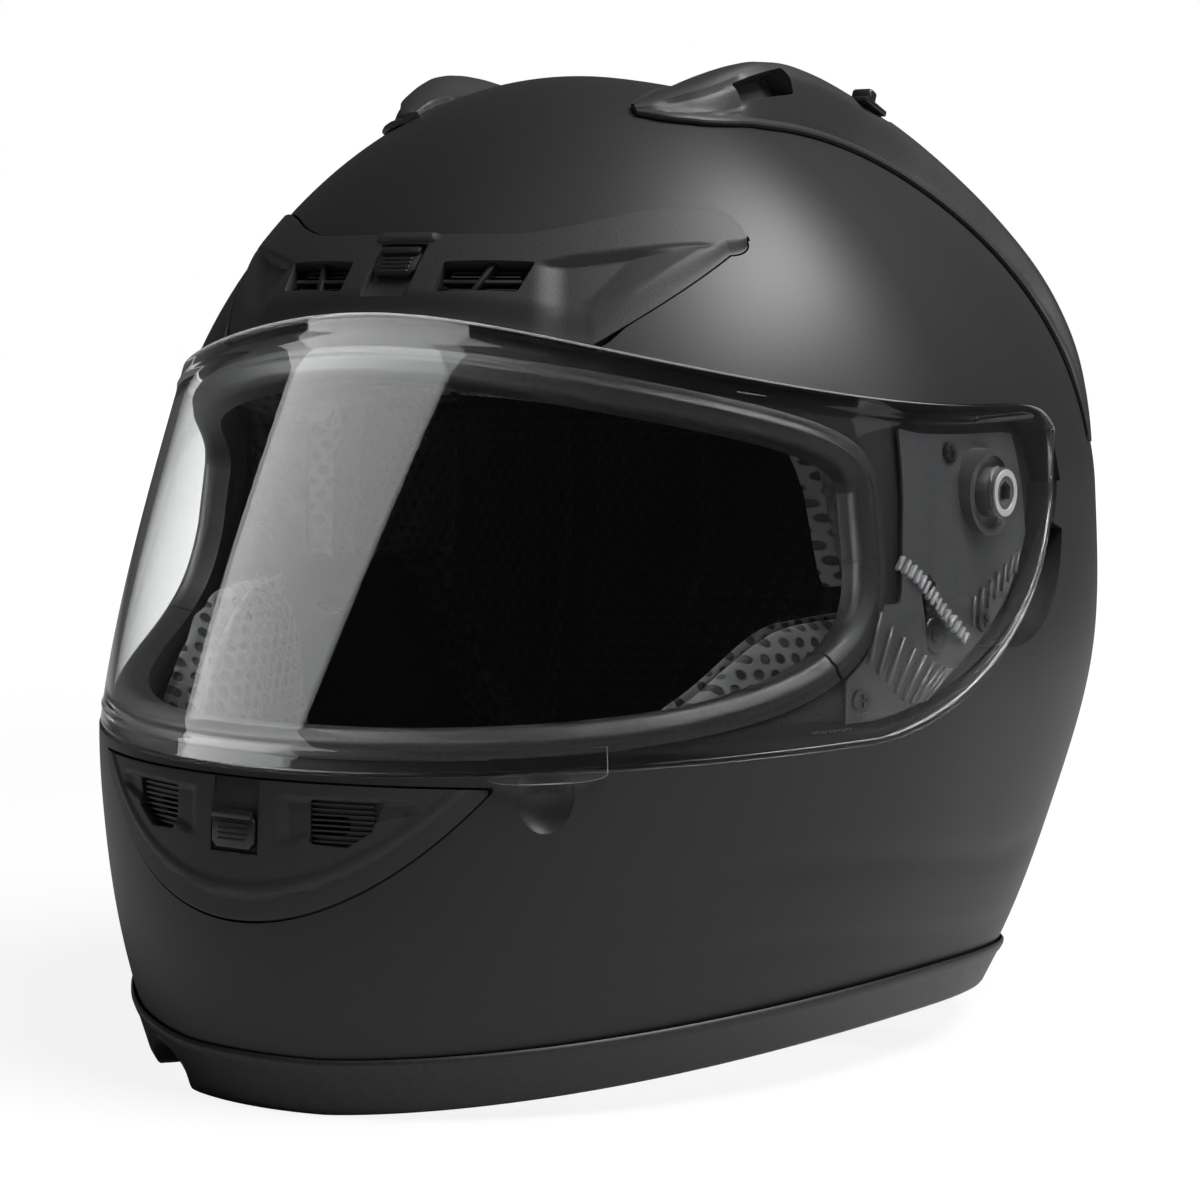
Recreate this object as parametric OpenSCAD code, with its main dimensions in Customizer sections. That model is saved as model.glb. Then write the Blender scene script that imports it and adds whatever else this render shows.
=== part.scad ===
// Full-face motorcycle helmet, built as an assembly of separate pieces.
// Millimetres, +Z up, the wearer faces -Y and the wearer's left is +X.
// The origin is on the resting plane, under the middle of the helmet.

/* [Overall size] */
// Height of the bare shell's crown above the resting plane
helmet_h = 262; // [210:1:320]
// Greatest width of the shell
helmet_w = 252; // [205:1:305]
// Length of the shell from chin to nape
helmet_l = 322; // [265:1:390]

/* [Shell and linings] */
// Wall of the outer shell
shell_t = 4; // [3:0.5:6]
// Thickness of the shock-absorbing foam over the head
foam_t = 26; // [18:1:34]
// Thickness of the comfort liner over the head
liner_t = 8; // [5:1:12]
// Thickness of each cheek pad at its middle
cheek_t = 26; // [16:1:32]
// Gap that separates neighbouring curved pieces
fit_gap = 0.6; // [0.4:0.1:1]

/* [Bottom trim] */
// Height of the rubber trim on the shell's lower edge
trim_h = 15; // [10:1:20]
// How far the lower edge arches up at the sides
rim_arch = 13; // [0:1:18]
// Radius of the finger scallop in the trim
scallop_r = 12; // [6:1:13]

/* [Eye port and visor] */
// Wall of the clear visor
visor_t = 2.2; // [1.6:0.2:3]
// Half angle of the eye port, from the front
port_a = 72.5; // [60:0.5:76]
// Half angle of the visor, from the front
visor_a = 113.5; // [100:0.5:116]
// Width of the rubber gasket around the eye port
gasket_w = 6; // [4:0.5:8]
// Radius of the visor's pivot bore
pivot_r = 7; // [5:0.5:9]
// Visor opening angle shown, 0 is closed
visor_open = 0; // [0:5:45]

/* [Vents] */
// Height of the brow vent cover above the shell
brow_vent_h = 4.5; // [3:0.5:7]
// Height of the chin vent cover above the shell
chin_vent_h = 3; // [2:0.5:5]
// Height of the top scoops at their intakes
scoop_h = 15; // [10:0.5:20]
// Width of the square intake in each top scoop
intake_w = 11; // [7:0.5:14]
// Travel of the brow and chin vent sliders
slider_travel = 6; // [3:0.5:8]

/* [Retention] */
// Width of the chin strap webbing
strap_w = 25; // [20:1:30]
// Thickness of the chin strap webbing
strap_t = 2; // [1.5:0.5:3]
// Wire radius of the strap's D-rings
ring_wire_r = 2; // [1.5:0.25:3]

/* [Hidden] */

// ---------- form of the shell ----------
// Stations run from the lower edge (0) to the widest level, as shares of the height
widest = 150 / 262;
design_h = 262;
level = [0, 25 / 262, 60 / 262, 100 / 262, widest];
// Half width at each station, as a share of the greatest half width
wide = [0.766, 0.862, 0.95, 1, 0.968];
// Reach of the front and of the back at each station, as shares of the half length
fore = [0.955, 0.988, 1, 0.97, 0.792];
aft = [0.615, 0.696, 0.795, 0.93, 1];
wide_swell = 0.07;
fore_swell = 0.29;
aft_swell = -0.01;
mid_low = -10;
mid_top = -20.6;
fore_power = 2;
aft_power = 2.28;

function gap(i) = level[i + 1] - level[i];
function rise(s, i) = (s[i + 1] - s[i]) / gap(i);
function slope(s, last, i) =
    i == 0 ? 1.5 * rise(s, 0) - 0.5 * (rise(s, 0) * gap(1) + rise(s, 1) * gap(0)) / (gap(0) + gap(1)) :
    i == 4 ? last : (rise(s, i - 1) * gap(i) + rise(s, i) * gap(i - 1)) / (gap(i - 1) + gap(i));
// Smooth curve through the stations, with a given slope at the last one
function cubic(s, last, u) =
    let (i = u < level[1] ? 0 : u < level[2] ? 1 : u < level[3] ? 2 : 3, g = gap(i),
        t = (u - level[i]) / g)
    s[i] * (2 * t ^ 3 - 3 * t ^ 2 + 1) + s[i + 1] * (3 * t ^ 2 - 2 * t ^ 3)
    + g * (slope(s, last, i) * (t ^ 3 - 2 * t ^ 2 + t) + slope(s, last, i + 1) * (t ^ 3 - t ^ 2));
// One half-outline of the form: stations below the widest level, a swelling dome above it
function reach(s, mid, swell, v) =
    v > widest ? let (p = 90 * (v - widest) / (1 - widest))
        mid + (s[4] - mid) * cos(p) * (1 - swell * sin(p))
    : cubic(s, (mid - s[4]) * swell / (1 - widest), v);
function height(v) =
    helmet_h * (v > widest ? widest + (1 - widest) * sin(90 * (v - widest) / (1 - widest)) : v);
// Surface parameter for a height on the outlines, which are drawn for a shell design_h tall
function at(z) = let (u = z / design_h)
    u > widest ? widest + (1 - widest) * asin(min(1, (u - widest) / (1 - widest))) / 90 : u;
fore_list = -helmet_l / 2 * fore;
aft_list = helmet_l / 2 * aft;
wide_list = helmet_w / 2 * wide;
// Point of the form at angle a from the front (positive towards the wearer's left)
function form(a, v) =
    let (w = reach(wide_list, 0, wide_swell, v), front = cos(a) > 0,
        top = v > widest ? sin(90 * (v - widest) / (1 - widest)) : 0,
        mid = mid_low + (mid_top - mid_low) * top,
        l = front ? mid - reach(fore_list, mid_top, fore_swell, v)
            : reach(aft_list, mid_top, aft_swell, v) - mid,
        n = front ? fore_power : aft_power,
        r = (abs(sin(a) / w) ^ n + abs(cos(a) / l) ^ n) ^ (-1 / n))
    [r * sin(a), mid - r * cos(a), height(v)];
function unit(p) = p / norm(p);
function normal(a, v) =
    unit(cross(form(a + 0.4, v) - form(a - 0.4, v),
        form(a, min(v + 0.003, 0.998)) - form(a, max(v - 0.003, 0))));
function on(a, v, off) = form(a, v) + normal(a, v) * off;
function mix(p, q, t) = p + (q - p) * t;
function span(from, to, n) = [for (i = [0:n]) mix(from, to, i / n)];
// Angles that crowd towards both ends of a patch
function crowded(half, n) = [for (i = [0:n]) -half * cos(180 * i / n)];

// Closed skin between two offsets of the form, from edge lo(a) to edge hi(a)
module skin(angles, rows, lo, hi, outer, inner) {
    n = len(angles);
    m = rows + 1;
    points = [for (side = [0, 1], a = angles, j = [0:rows])
        let (t = j / rows, v = mix(lo(a), hi(a), t)) on(a, v, side == 0 ? outer(a, t) : inner(a, t))];
    function id(s, i, j) = (s * n + i) * m + j;
    function quad(p, q, r, s) = [[p, q, r], [p, r, s]];
    faces = [
        for (i = [0:n - 2], j = [0:rows - 1]) each concat(
            quad(id(0, i, j), id(0, i, j + 1), id(0, i + 1, j + 1), id(0, i + 1, j)),
            quad(id(1, i, j), id(1, i + 1, j), id(1, i + 1, j + 1), id(1, i, j + 1))),
        for (i = [0:n - 2]) each concat(
            quad(id(0, i, 0), id(0, i + 1, 0), id(1, i + 1, 0), id(1, i, 0)),
            quad(id(0, i + 1, rows), id(0, i, rows), id(1, i, rows), id(1, i + 1, rows))),
        for (j = [0:rows - 1]) each concat(
            quad(id(0, 0, j + 1), id(0, 0, j), id(1, 0, j), id(1, 0, j + 1)),
            quad(id(0, n - 1, j), id(0, n - 1, j + 1), id(1, n - 1, j + 1), id(1, n - 1, j)))];
    polyhedron(points, faces, convexity = 8);
}

// Closed dome between two offsets, open below, its lower edge at lo(a)
module dome(sides, rows, inner_rows, lo, outer, inner) {
    top = 0.985;
    angles = [for (i = [0:sides - 1]) 360 * i / sides];
    all_rows = [rows, inner_rows];
    offs = [outer, inner];
    points = [
        for (s = [0, 1], j = [0:all_rows[s]], a = angles) let (v = mix(lo(a), top, j / all_rows[s]))
            on(a, v, offs[s](a, v)),
        for (s = [0, 1]) [0, mid_top, helmet_h + offs[s](0, 1)]];
    base = [0, sides * (rows + 1)];
    pole = sides * (rows + inner_rows + 2);
    function id(s, j, i) = base[s] + j * sides + i % sides;
    faces = [
        for (j = [0:rows - 1], i = [0:sides - 1]) each [
            [id(0, j, i), id(0, j + 1, i), id(0, j + 1, i + 1)],
            [id(0, j, i), id(0, j + 1, i + 1), id(0, j, i + 1)]],
        for (j = [0:inner_rows - 1], i = [0:sides - 1]) each [
            [id(1, j, i), id(1, j + 1, i + 1), id(1, j + 1, i)],
            [id(1, j, i), id(1, j, i + 1), id(1, j + 1, i + 1)]],
        for (i = [0:sides - 1]) each [
            [id(0, rows, i), pole, id(0, rows, i + 1)],
            [id(1, inner_rows, i), id(1, inner_rows, i + 1), pole + 1],
            [id(0, 0, i), id(0, 0, i + 1), id(1, 0, i + 1)],
            [id(0, 0, i), id(1, 0, i + 1), id(1, 0, i)]]];
    polyhedron(points, faces, convexity = 8);
}

function turn_sum(s, k = 0) = k == len(s) ? 0 :
    let (p = s[k], q = s[(k + 1) % len(s)]) p[0] * q[1] - p[1] * q[0] + turn_sum(s, k + 1);
// Bar swept along points [a, v] of the form. section(i) lists [across, off] points,
// where across grows to the left of the path as seen from outside.
module rail(path, section, closed = false) {
    n = len(path);
    core = [for (q = path) form(q[0], q[1])];
    m = len(section(0));
    points = [for (i = [0:n - 1])
        let (before = closed ? (i + n - 1) % n : max(i - 1, 0),
            after = closed ? (i + 1) % n : min(i + 1, n - 1),
            out = normal(path[i][0], path[i][1]), along = unit(core[after] - core[before]),
            across = unit(cross(out, along)))
        each [for (q = section(i)) core[i] + across * q[0] + out * q[1]]];
    last = closed ? n - 1 : n - 2;
    faces = concat(
        [for (i = [0:last], k = [0:m - 1]) let (p = (i + 1) % n, q = (k + 1) % m)
            each [[i * m + k, p * m + k, p * m + q], [i * m + k, p * m + q, i * m + q]]],
        closed ? [] : [[for (k = [0:m - 1]) k], [for (k = [m - 1:-1:0]) (n - 1) * m + k]]);
    // A section listed clockwise gets its faces turned round
    first = section(0);
    turned = turn_sum(first) < 0;
    polyhedron(points, turned ? [for (f = faces) [for (k = [len(f) - 1:-1:0]) f[k]]] : faces,
        convexity = 8);
}

// Puts children at a point of the form, with their +Z along the outward normal
// and their +Y as far up the shell as the surface allows
module seat(a, v, off = 0, turn = 0) {
    out = normal(a, v);
    side = unit(cross([0, 0, 1], out));
    up = cross(out, side);
    p = form(a, v) + out * off;
    multmatrix([[side[0], up[0], out[0], p[0]], [side[1], up[1], out[1], p[1]],
        [side[2], up[2], out[2], p[2]], [0, 0, 0, 1]]) rotate([0, 0, turn]) children();
}

// ---------- edges of the shell, port and visor ----------
function rim(a) = rim_arch * (max(0, abs(sin(a)) - 0.14) / 0.86) ^ 1.2;
function rounded(t, n) = (1 - min(abs(t), 0.999) ^ n) ^ (1 / n);
port_mid = 145;
function port_top(a) = port_mid + (172 + 16.5 * cos(a) ^ 2 - port_mid) * rounded(a / port_a, 4.5);
function port_low(a) = port_mid - (port_mid - 91.5) * rounded(a / port_a, 3.1);
visor_mid = 155;
function visor_top(a) = visor_mid + (174 + 21.5 * cos(a) ^ 2 - visor_mid) * rounded(a / visor_a, 7);
function visor_low(a) = visor_mid
    - (visor_mid - 86 - 6 * sin(a) ^ 2) * (abs(a) < 70 ? 1 : rounded((abs(a) - 70) / (visor_a - 70),
        1.55));
visor_top_off = 2.6;
visor_low_off = -0.3;
function visor_off(t) = visor_low_off + (visor_top_off - visor_low_off) * t ^ 1.5;
// The recess that the visor sits in is deeper at the sides, under the pivots
recess_off = -5.4;
side_off = -9.4;
frame_off = -11.6;
// Place of the lift tab low on the visor
tab_a = 31;
// Space behind the pivot that the visor's rear end turns through
sweep_r = form(visor_a, at(visor_mid))[1] - 4 + 3.77;
sweep_x = form(100, at(176))[0] - 1.09;
function ramp(x, from, to) = let (t = max(0, min(1, (x - from) / (to - from)))) t * t * (3 - 2 * t);
function recess_floor(a) = mix(recess_off, side_off, ramp(abs(a), 76, 84));
pivot_y = 4;
pivot_mid = 151;
pivot_z = height(at(pivot_mid));
// Outer face of the form beside the pivot
pivot_face = form(foot([helmet_w / 2, pivot_y, pivot_z])[0], at(pivot_mid))[0];
brow_a = 63.5;
function brow_top(a) =
    let (low = brow_low(a)) low + (217.2 + 5.2 * (a / 57) ^ 4 - low) * rounded(a / brow_a, 6);
function brow_low(a) = max(visor_top(a) + 1.4, 190 + (abs(a) - 37) * 0.98);
brow_floor = -3.2;
chin_a = 25.5;
chin_floor = -2.3;
chin_top = 82.8;
function frame_top(a) = let (b = abs(a))
    4 + mix(brow_top(min(b, brow_a - 2)), visor_top(b), ramp(b, brow_a - 2, brow_a + 38));
function chin_low(a) = 47.8 + (chin_top - 49) * (a / chin_a) ^ 2;
foam_off = -(shell_t + fit_gap + 0.6);
foam_in = foam_off - foam_t;
liner_in = foam_in - fit_gap - liner_t;

// ---------- shell ----------
// Slot with round ends that goes through the shell, wide across and tall up the shell
module slot(a, z, wide, tall, turn = 0) {
    seat(a, at(z), -14, turn) hull() for (s = [-1, 1]) translate([s * (wide - tall) / 2, 0, 0])
        cylinder(d = tall, h = 30, $fn = 12);
}
module outer_shell() {
    color([0.06, 0.06, 0.065]) union() {
        difference() {
            union() {
                dome(64, 20, 16, function(a) at(rim(a) + 3), function(a, v) 0, function(a, v) -shell_t);
                skin(crowded(visor_a + 3, 40), 8,
                    function(a) at(visor_low(a) - 4 - 16 * ramp(abs(a), 97, 105)),
                    function(a) at(frame_top(a)),
                    function(a, t) -1.5, function(a, t) frame_off);
            }
            skin(crowded(visor_a + 1.3, 40), 7,
                function(a) at(visor_low(a) - 1.2), function(a) at(visor_top(a) + 1),
                function(a, t) 6, function(a, t) recess_floor(a));
            skin(crowded(port_a * 0.999, 40), 3, function(a) at(port_low(a)), function(a) at(port_top(a)),
                function(a, t) 6, function(a, t) -20);
            // Room for the visor's rear ends to turn in
            for (m = [0, 1]) mirror([m, 0, 0]) intersection() {
                translate([sweep_x, pivot_y, pivot_z]) rotate([0, 90, 0])
                    cylinder(r = sweep_r, h = 30, $fn = 48);
                translate([sweep_x - 1, pivot_y + 11, pivot_z - sweep_r + 1.6])
                    cube([40, sweep_r - 8.6, sweep_r + 2.4]);
            }
            // Scallop in the lower edge
            seat(notch_a, at(0.5), -12) cylinder(r = scallop_r + 2, h = 24, $fn = 32);
            skin(crowded(brow_a + 0.4, 32), 4,
                function(a) at(brow_low(a) - 2), function(a) at(brow_top(a) + 0.6),
                function(a, t) 8, function(a, t) brow_floor);
            skin(crowded(chin_a + 0.5, 16), 3,
                function(a) at(chin_low(a) - 0.7), function(a) at(chin_top + 0.6),
                function(a, t) 8, function(a, t) chin_floor);
            for (s = [-1, 1]) {
                slot(s * 18, 206.5, 22, 5);
                slot(s * 9.5, 73, 14, 5);
                slot(s * 96, 251, 10, 6);
                slot(180 + s * 9, 178, 16, 6);
            }
            // Thumb recess under the visor's lift tab
            seat(tab_a, at(visor_low(tab_a) - 6.5), 1.2) hull() for (k = [-1, 0, 1])
                translate([0, k * 5, 0]) sphere(4.2 + 1.6 * (1 - abs(k)), $fn = 12);
        }
    }
}
notch_a = -14;
module bottom_trim() {
    lip = 1.5;
    angles = concat(span(-24, -4, 20), span(0, 332, 64));
    function across(a) = norm(form(a, 0.03) - form(notch_a, 0.03));
    function cut(a) = across(a) < scallop_r ? sqrt(scallop_r ^ 2 - across(a) ^ 2) : 0;
    // How much the bottom slants in the section, so that it comes out level
    function slant(a) = let (up = normal(a, at(rim(a)))[2]) -up / sqrt(1 - up ^ 2);
    // Section: a channel that grips the shell's edge, with a proud lip along its top
    function section(a) =
        let (low = cut(a) * (trim_h - 5.6) / scallop_r, web = 2.4 + max(0, low - 0.4), k = slant(a))
        [[low + 1.2 * k, 1.2], [trim_h - 2.2, lip], [trim_h - 0.6, lip], [trim_h, 0.5], [web, 0.5],
            [web, -shell_t - 0.9], [trim_h - 3, -shell_t - 0.9], [trim_h - 3, -shell_t - 2.9],
            [low - (shell_t + 2.9) * k, -shell_t - 2.9]];
    color([0.05, 0.05, 0.05]) rail([for (a = angles) [a, at(rim(a))]],
        function(i) section(angles[i]), true);
}
// ---------- eye port gasket ----------
// Closed path round the port, from its middle rear end on the right, under and back over
function port_point(p) = let (a = -port_a * cos(p) * 0.999, up = sin(p) < 0)
    [a, at(up ? port_top(a) : port_low(a))];
function gasket_stops(from, to) =
    concat([from], [for (p = [(floor(from / 4.5) + 1) * 4.5:4.5:to - 0.1]) p], [to]);
module gasket(from, to) {
    // A channel round the port's edge, with a soft lip towards the opening
    section = [[-2.2, recess_off + 0.6], [-2.2, recess_off + 1.6], [2.2, recess_off + 2.2],
        [gasket_w - 2, recess_off + 1],
        [gasket_w - 1.4, frame_off - 1], [0.8, frame_off - 2.8], [-2.2, frame_off - 2.8], [-2.2,
            frame_off - 1.3],
        [0.8, frame_off - 1.3], [0.8, recess_off + 0.6]];
    color([0.03, 0.03, 0.03]) rail([for (p = gasket_stops(from, to)) port_point(p)], function(i) section);
}
module gasket_lower() gasket(27, 153);
module gasket_upper() gasket(153.6, 386.4);

// ---------- linings ----------
function foam_low(a) = let (b = abs(a > 180 ? 360 - a : a))
    b < port_a - 8 ? port_top(b) + 5 : b < 110 ? mix(port_top(port_a - 8) + 5, 128, ramp(b, port_a
        + 1, port_a + 9))
    : mix(128, 52, ramp(b, 110, 130));
function foam_outer(a, v) = let (b = a > 180 ? 360 - a : a, z = height(v) / helmet_h * design_h)
    mix(foam_off, frame_off - fit_gap - 0.9, (1 - ramp(b, 124, 138)) * (1 - ramp(z, 234, 244)));
module crown_foam() {
    color([0.1, 0.1, 0.1]) dome(44, 12, 8, function(a) at(foam_low(a)), function(a, v) foam_outer(a, v),
        function(a, v) foam_in);
}
module crown_liner() {
    color([0.16, 0.16, 0.17]) dome(44, 8, 6, function(a) at(foam_low(a) + 3), function(a,
        v) foam_in - fit_gap - 0.3,
        function(a, v) liner_in);
}
module chin_foam() {
    color([0.1, 0.1, 0.1]) skin(span(-27, 27, 12), 4, function(a) at(28), function(a) at(78),
        function(a, t) mix(foam_off, frame_off - fit_gap, t), function(a, t) mix(foam_off, frame_off,
            t) - 11);
}
cheek_from = 31;
cheek_to = 84;
function cheek_top(a) = 84 + 42 * ramp(abs(a), cheek_from + 2, cheek_from + 34);
module cheek_pad(s) {
    function swell(u) = max(0.05, 1 - abs(2 * u - 1) ^ 4) ^ 0.4;
    color([0.13, 0.13, 0.14]) skin([for (k = [0:12]) s > 0 ? mix(cheek_from, cheek_to, k / 12)
        : -mix(cheek_to, cheek_from, k / 12)], 8, function(a) at(34), function(a) at(cheek_top(a)),
        function(a, t) frame_off - fit_gap - 3 + 0.5,
        function(a, t) frame_off - fit_gap - 3 - cheek_t * swell(t) * swell((abs(a) - cheek_from) / (cheek_to - cheek_from)));
}
module cheek_pad_left() cheek_pad(1);
module cheek_pad_right() cheek_pad(-1);
module neck_roll() {
    color([0.13, 0.13, 0.14]) rail([for (a = span(106, 254, 22)) [a, at(rim(a) + 23)]],
        function(i) let (k = 0.6 + 0.4 * sin(180 * i / 22), deep = -shell_t - fit_gap - 12 * k)
            [for (p = [0:30:330]) [14 * k * cos(p), deep + 12 * k * sin(p)]]);
}

// ---------- brow vent ----------
brow_window = 206.5;
module brow_vent_cover() {
    color([0.09, 0.09, 0.095]) difference() {
        union() {
            skin(crowded(brow_a - 0.3, 36), 6, function(a) at(brow_low(a)), function(a) at(brow_top(a)),
                function(a, t) mix(-0.4, brow_vent_h + brow_floor - 0.3, ramp(t, 0, 0.45)),
                    function(a, t) brow_floor + 0.4);
        }
        for (s = [-1, 1]) seat(s * 18, at(brow_window), 8) hull() for (x = [-1, 1], y = [-1, 1])
            translate([x * (9 + y), y * 3, -16]) cylinder(r = 1, h = 20, $fn = 12);
        // Bed of the slider
        seat(0, at(brow_window + 1), -1.2) translate([-7.6, -8.2, 0]) cube([15.2, 16.4, 8]);
    }
}
module brow_vent_slider() {
    color([0.05, 0.05, 0.05]) seat(0, at(brow_window + 1), -0.9) {
        translate([-6.8, 7.5 - (15 - slider_travel), 0]) cube([13.6, 15 - slider_travel, 1.6]);
        translate([-6.8, 4.8, 1.6]) cube([13.6, 2.2, 0.9]);
    }
}

// ---------- chin vent ----------
module chin_vent_cover() {
    color([0.09, 0.09, 0.095]) difference() {
        skin(crowded(chin_a, 24), 7, function(a) at(chin_low(a)), function(a) at(chin_top),
            function(a, t) chin_vent_h + chin_floor + 0.3, function(a, t) chin_floor + 0.4);
        for (s = [-1, 1]) seat(s * 10.5, at(73.5), 6) hull() for (x = [-1, 1], y = [-1, 1])
            translate([x * (9 + 2 * y), y * 4, -14]) cylinder(r = 1, h = 18, $fn = 12);
        seat(0, at(72.5), -1) translate([-7.6, -8, 0]) cube([15.2, 17, 8]);
    }
}
module chin_vent_slider() {
    color([0.05, 0.05, 0.05]) seat(0, at(72.5), -0.7) {
        translate([-6.8, -7, 0]) cube([13.6, 9.6, 1.7]);
        translate([-6.8, 0.4, 1.7]) cube([13.6, 2, 0.9]);
    }
}

// ---------- top scoops ----------
// Angle and surface parameter of the form at a point's own height
function foot(p) = let (v = at(min(p[2] / helmet_h, 0.9995) * design_h),
    top = v > widest ? sin(90 * (v - widest) / (1 - widest)) : 0,
    mid = mid_low + (mid_top - mid_low) * top) [atan2(p[0], mid - p[1]), v];
// Point at a given offset above the form, straight over the point p
function onto(p, off, n = 5) = let (q = foot(p), out = normal(q[0], q[1]), away = (p - form(q[0],
    q[1])) * out)
    n == 0 ? form(q[0], q[1]) + out * off : onto(p - out * away, off, n - 1);
// Stations of the left scoop's middle line: a point near the shell, half width and crest height
scoop_way = [[37.5, -45.5, 250.5, 2.5, 1.6], [42, -40, 252, 8, 3], [47, -30, 253, 12, 6.5], [49, -15,
    254, 12, 13],
    [49.5, 0, 254, 11.5, 14.5], [50.5, 18, 253, 12, 13.5], [52, 34, 250, 12.5, 12], [57, 52, 244,
        12.5, 10.5],
    [64, 68, 233, 12.5, 8.6], [71, 82, 219, 12, 7.2], [79, 91, 203, 11, 6.2], [88, 92, 186, 9, 4],
    [96, 88, 172, 6, 1.5], [101, 84, 162, 2, 0.4]];
scoop_base = 0.7;
scoop_grow = [helmet_w / 252, helmet_l / 322, helmet_h / 262];
// Places along the middle line of the intake and of the slider's bed
intake_stop = 3.2;
knob_stop = 6.35;
knob_tilt = -20;
function grown(p) = [for (i = [0:2]) p[i] * scoop_grow[i]];
function scoop_seat(t) = let (q = scoop_station(t)) onto(grown([q[0], q[1], q[2]]), 0);
knob_at = let (q = scoop_station(knob_stop)) onto(scoop_seat(knob_stop), scoop_base
    + q[4] * scoop_h / 15 - 1);
function scoop_station(t) = let (i = min(floor(t), len(scoop_way) - 2)) mix(scoop_way[i],
    scoop_way[i + 1], t - i);
module top_scoop() {
    stops = span(0, len(scoop_way) - 1, 26);
    centre = [for (t = stops) scoop_seat(t)];
    n = len(stops);
    // Section from the outer edge over the crest to the inner edge, and back along the shell
    share = [-1, -1, -0.84, -0.6, -0.3, 0, 0.35, 0.75, 1, 1, 0.5, 0, -0.5];
    m = len(share);
    points = [for (i = [0:n - 1]) let (q = scoop_station(stops[i]), w = q[3], h = q[4] * scoop_h / 15,
            f = foot(centre[i]), out = normal(f[0], f[1]),
            along = unit(centre[min(i + 1, n - 1)] - centre[max(i - 1, 0)]), across = unit(cross(out,
                along)),
            lip = min(1.3, 0.5 * h), high = [0, lip, 1.3 * lip, 0.62 * h, 0.93 * h, h, 0.86 * h,
                0.42 * h, lip, 0, 0, 0, 0])
        for (k = [0:m - 1]) onto(centre[i] + across * w * share[k], scoop_base + high[k])];
    faces = concat([for (i = [0:n - 2], k = [0:m - 1]) let (j = (k + 1) % m)
            each [[i * m + k, (i + 1) * m + j, (i + 1) * m + k], [i * m + k, i * m + j, (i + 1) * m
                + j]]],
        [[for (k = [m - 1:-1:0]) k], [for (k = [0:m - 1]) (n - 1) * m + k]]);
    difference() {
        polyhedron(points, faces, convexity = 8);
        // Slanted intake on the outer slope
        intake_frame() linear_extrude(20) scale([intake_w / 11, intake_w / 11])
            polygon([[-12, 0.4], [9, 5.4], [12, -1.8], [-10, -5]]);
        // Bed of the slider
        translate(knob_at) rotate([knob_tilt, 0, 0]) translate([-4.5, -9, -1]) cube([9, 18, 12]);
    }
}
// Frame on the outer slope: x runs back along the scoop, z points out of the mouth
module intake_frame() {
    p = scoop_seat(intake_stop);
    q = scoop_station(intake_stop);
    f = foot(p);
    out = normal(f[0], f[1]);
    along = unit(scoop_seat(intake_stop + 0.3) - scoop_seat(intake_stop - 0.3));
    across = unit(cross(out, along));
    z = unit(out * 0.75 - across * 0.65);
    y = unit(cross(z, along));
    x = cross(y, z);
    o = p + out * (scoop_base + 0.5 * q[4] * scoop_h / 15) - across * 0.25 * q[3] - z * 2.4;
    multmatrix([for (i = [0:2]) [x[i], y[i], z[i], o[i]]]) children();
}
module scoop_slider() {
    translate(knob_at) rotate([knob_tilt, 0, 0]) {
        translate([-4.2, -8.7, -0.7]) cube([8.4, 17.4 - slider_travel, 1.6]);
        translate([-3.2, -6, 0.9]) cube([6.4, 4, 3.6]);
    }
}
module top_scoop_left() color([0.07, 0.07, 0.075]) top_scoop();
module top_scoop_right() color([0.07, 0.07, 0.075]) mirror([1, 0, 0]) top_scoop();
module scoop_slider_left() color([0.04, 0.04, 0.04]) scoop_slider();
module scoop_slider_right() color([0.04, 0.04, 0.04]) mirror([1, 0, 0]) scoop_slider();
module rear_exhaust_cover() {
    color([0.07, 0.07, 0.075]) difference() {
        skin(span(160, 200, 14), 4, function(a) at(166), function(a) at(190),
            function(a, t) 1 + 4 * sin(180 * t), function(a, t) 0.6);
        for (s = [-1, 0, 1]) seat(180 + s * 10, at(180), 8, 180) translate([-4, 2, -12]) cube([8, 3, 16]);
    }
}

// ---------- side plates, screws and levers ----------
plate_from = 66;
plate_to = 109;
function plate_low(a) = visor_low(a) + 4;
function plate_top(a) = mix(port_low(min(a, 72)) - 4.5, visor_top(a) - 5, ramp(a, 75, 79));
function plate_out(a) = mix(recess_off + 1.4, side_off + 2.2, ramp(a, 77, 85));
function plate_in(a) = mix(recess_off + 0.5, side_off + 0.5, ramp(a, 77, 85));
lever_at = [82, 116];
lever_turn = 14;
// Outline of the lever, grown by a clearance and swept through an angle
module lever_shape(high, grow = 0, sweep = 0) {
    linear_extrude(high, center = true) hull() for (t = [0, sweep]) rotate(t) {
        circle(r = 3 + grow, $fn = 24);
        translate([0, 13]) circle(r = 2 + grow, $fn = 24);
    }
}
module side_plate() {
    difference() {
        union() {
            skin(span(plate_from, plate_to, 26), 6, function(a) at(plate_low(a)),
                function(a) at(plate_top(a)),
                function(a, t) plate_out(a), function(a, t) plate_in(a));
            translate([pivot_face + side_off + 0.5, pivot_y, pivot_z]) rotate([0, 90, 0])
                cylinder(r = pivot_r - 0.3, h = 9.8, $fn = 32);
        }
        seat(lever_at[0], at(lever_at[1]), plate_out(lever_at[0])) lever_shape(12, 0.5, lever_turn);
    }
}
module side_plate_left() color([0.08, 0.08, 0.08]) side_plate();
module side_plate_right() color([0.08, 0.08, 0.08]) mirror([1, 0, 0]) side_plate();
module lock_lever() {
    seat(lever_at[0], at(lever_at[1]), plate_out(lever_at[0]) - 0.9) lever_shape(1.4);
}
module lock_lever_left() color([0.1, 0.1, 0.1]) lock_lever();
module lock_lever_right() color([0.1, 0.1, 0.1]) mirror([1, 0, 0]) lock_lever();
screw_places = [[68, 101], [94, 118], [90, 163]];
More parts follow.
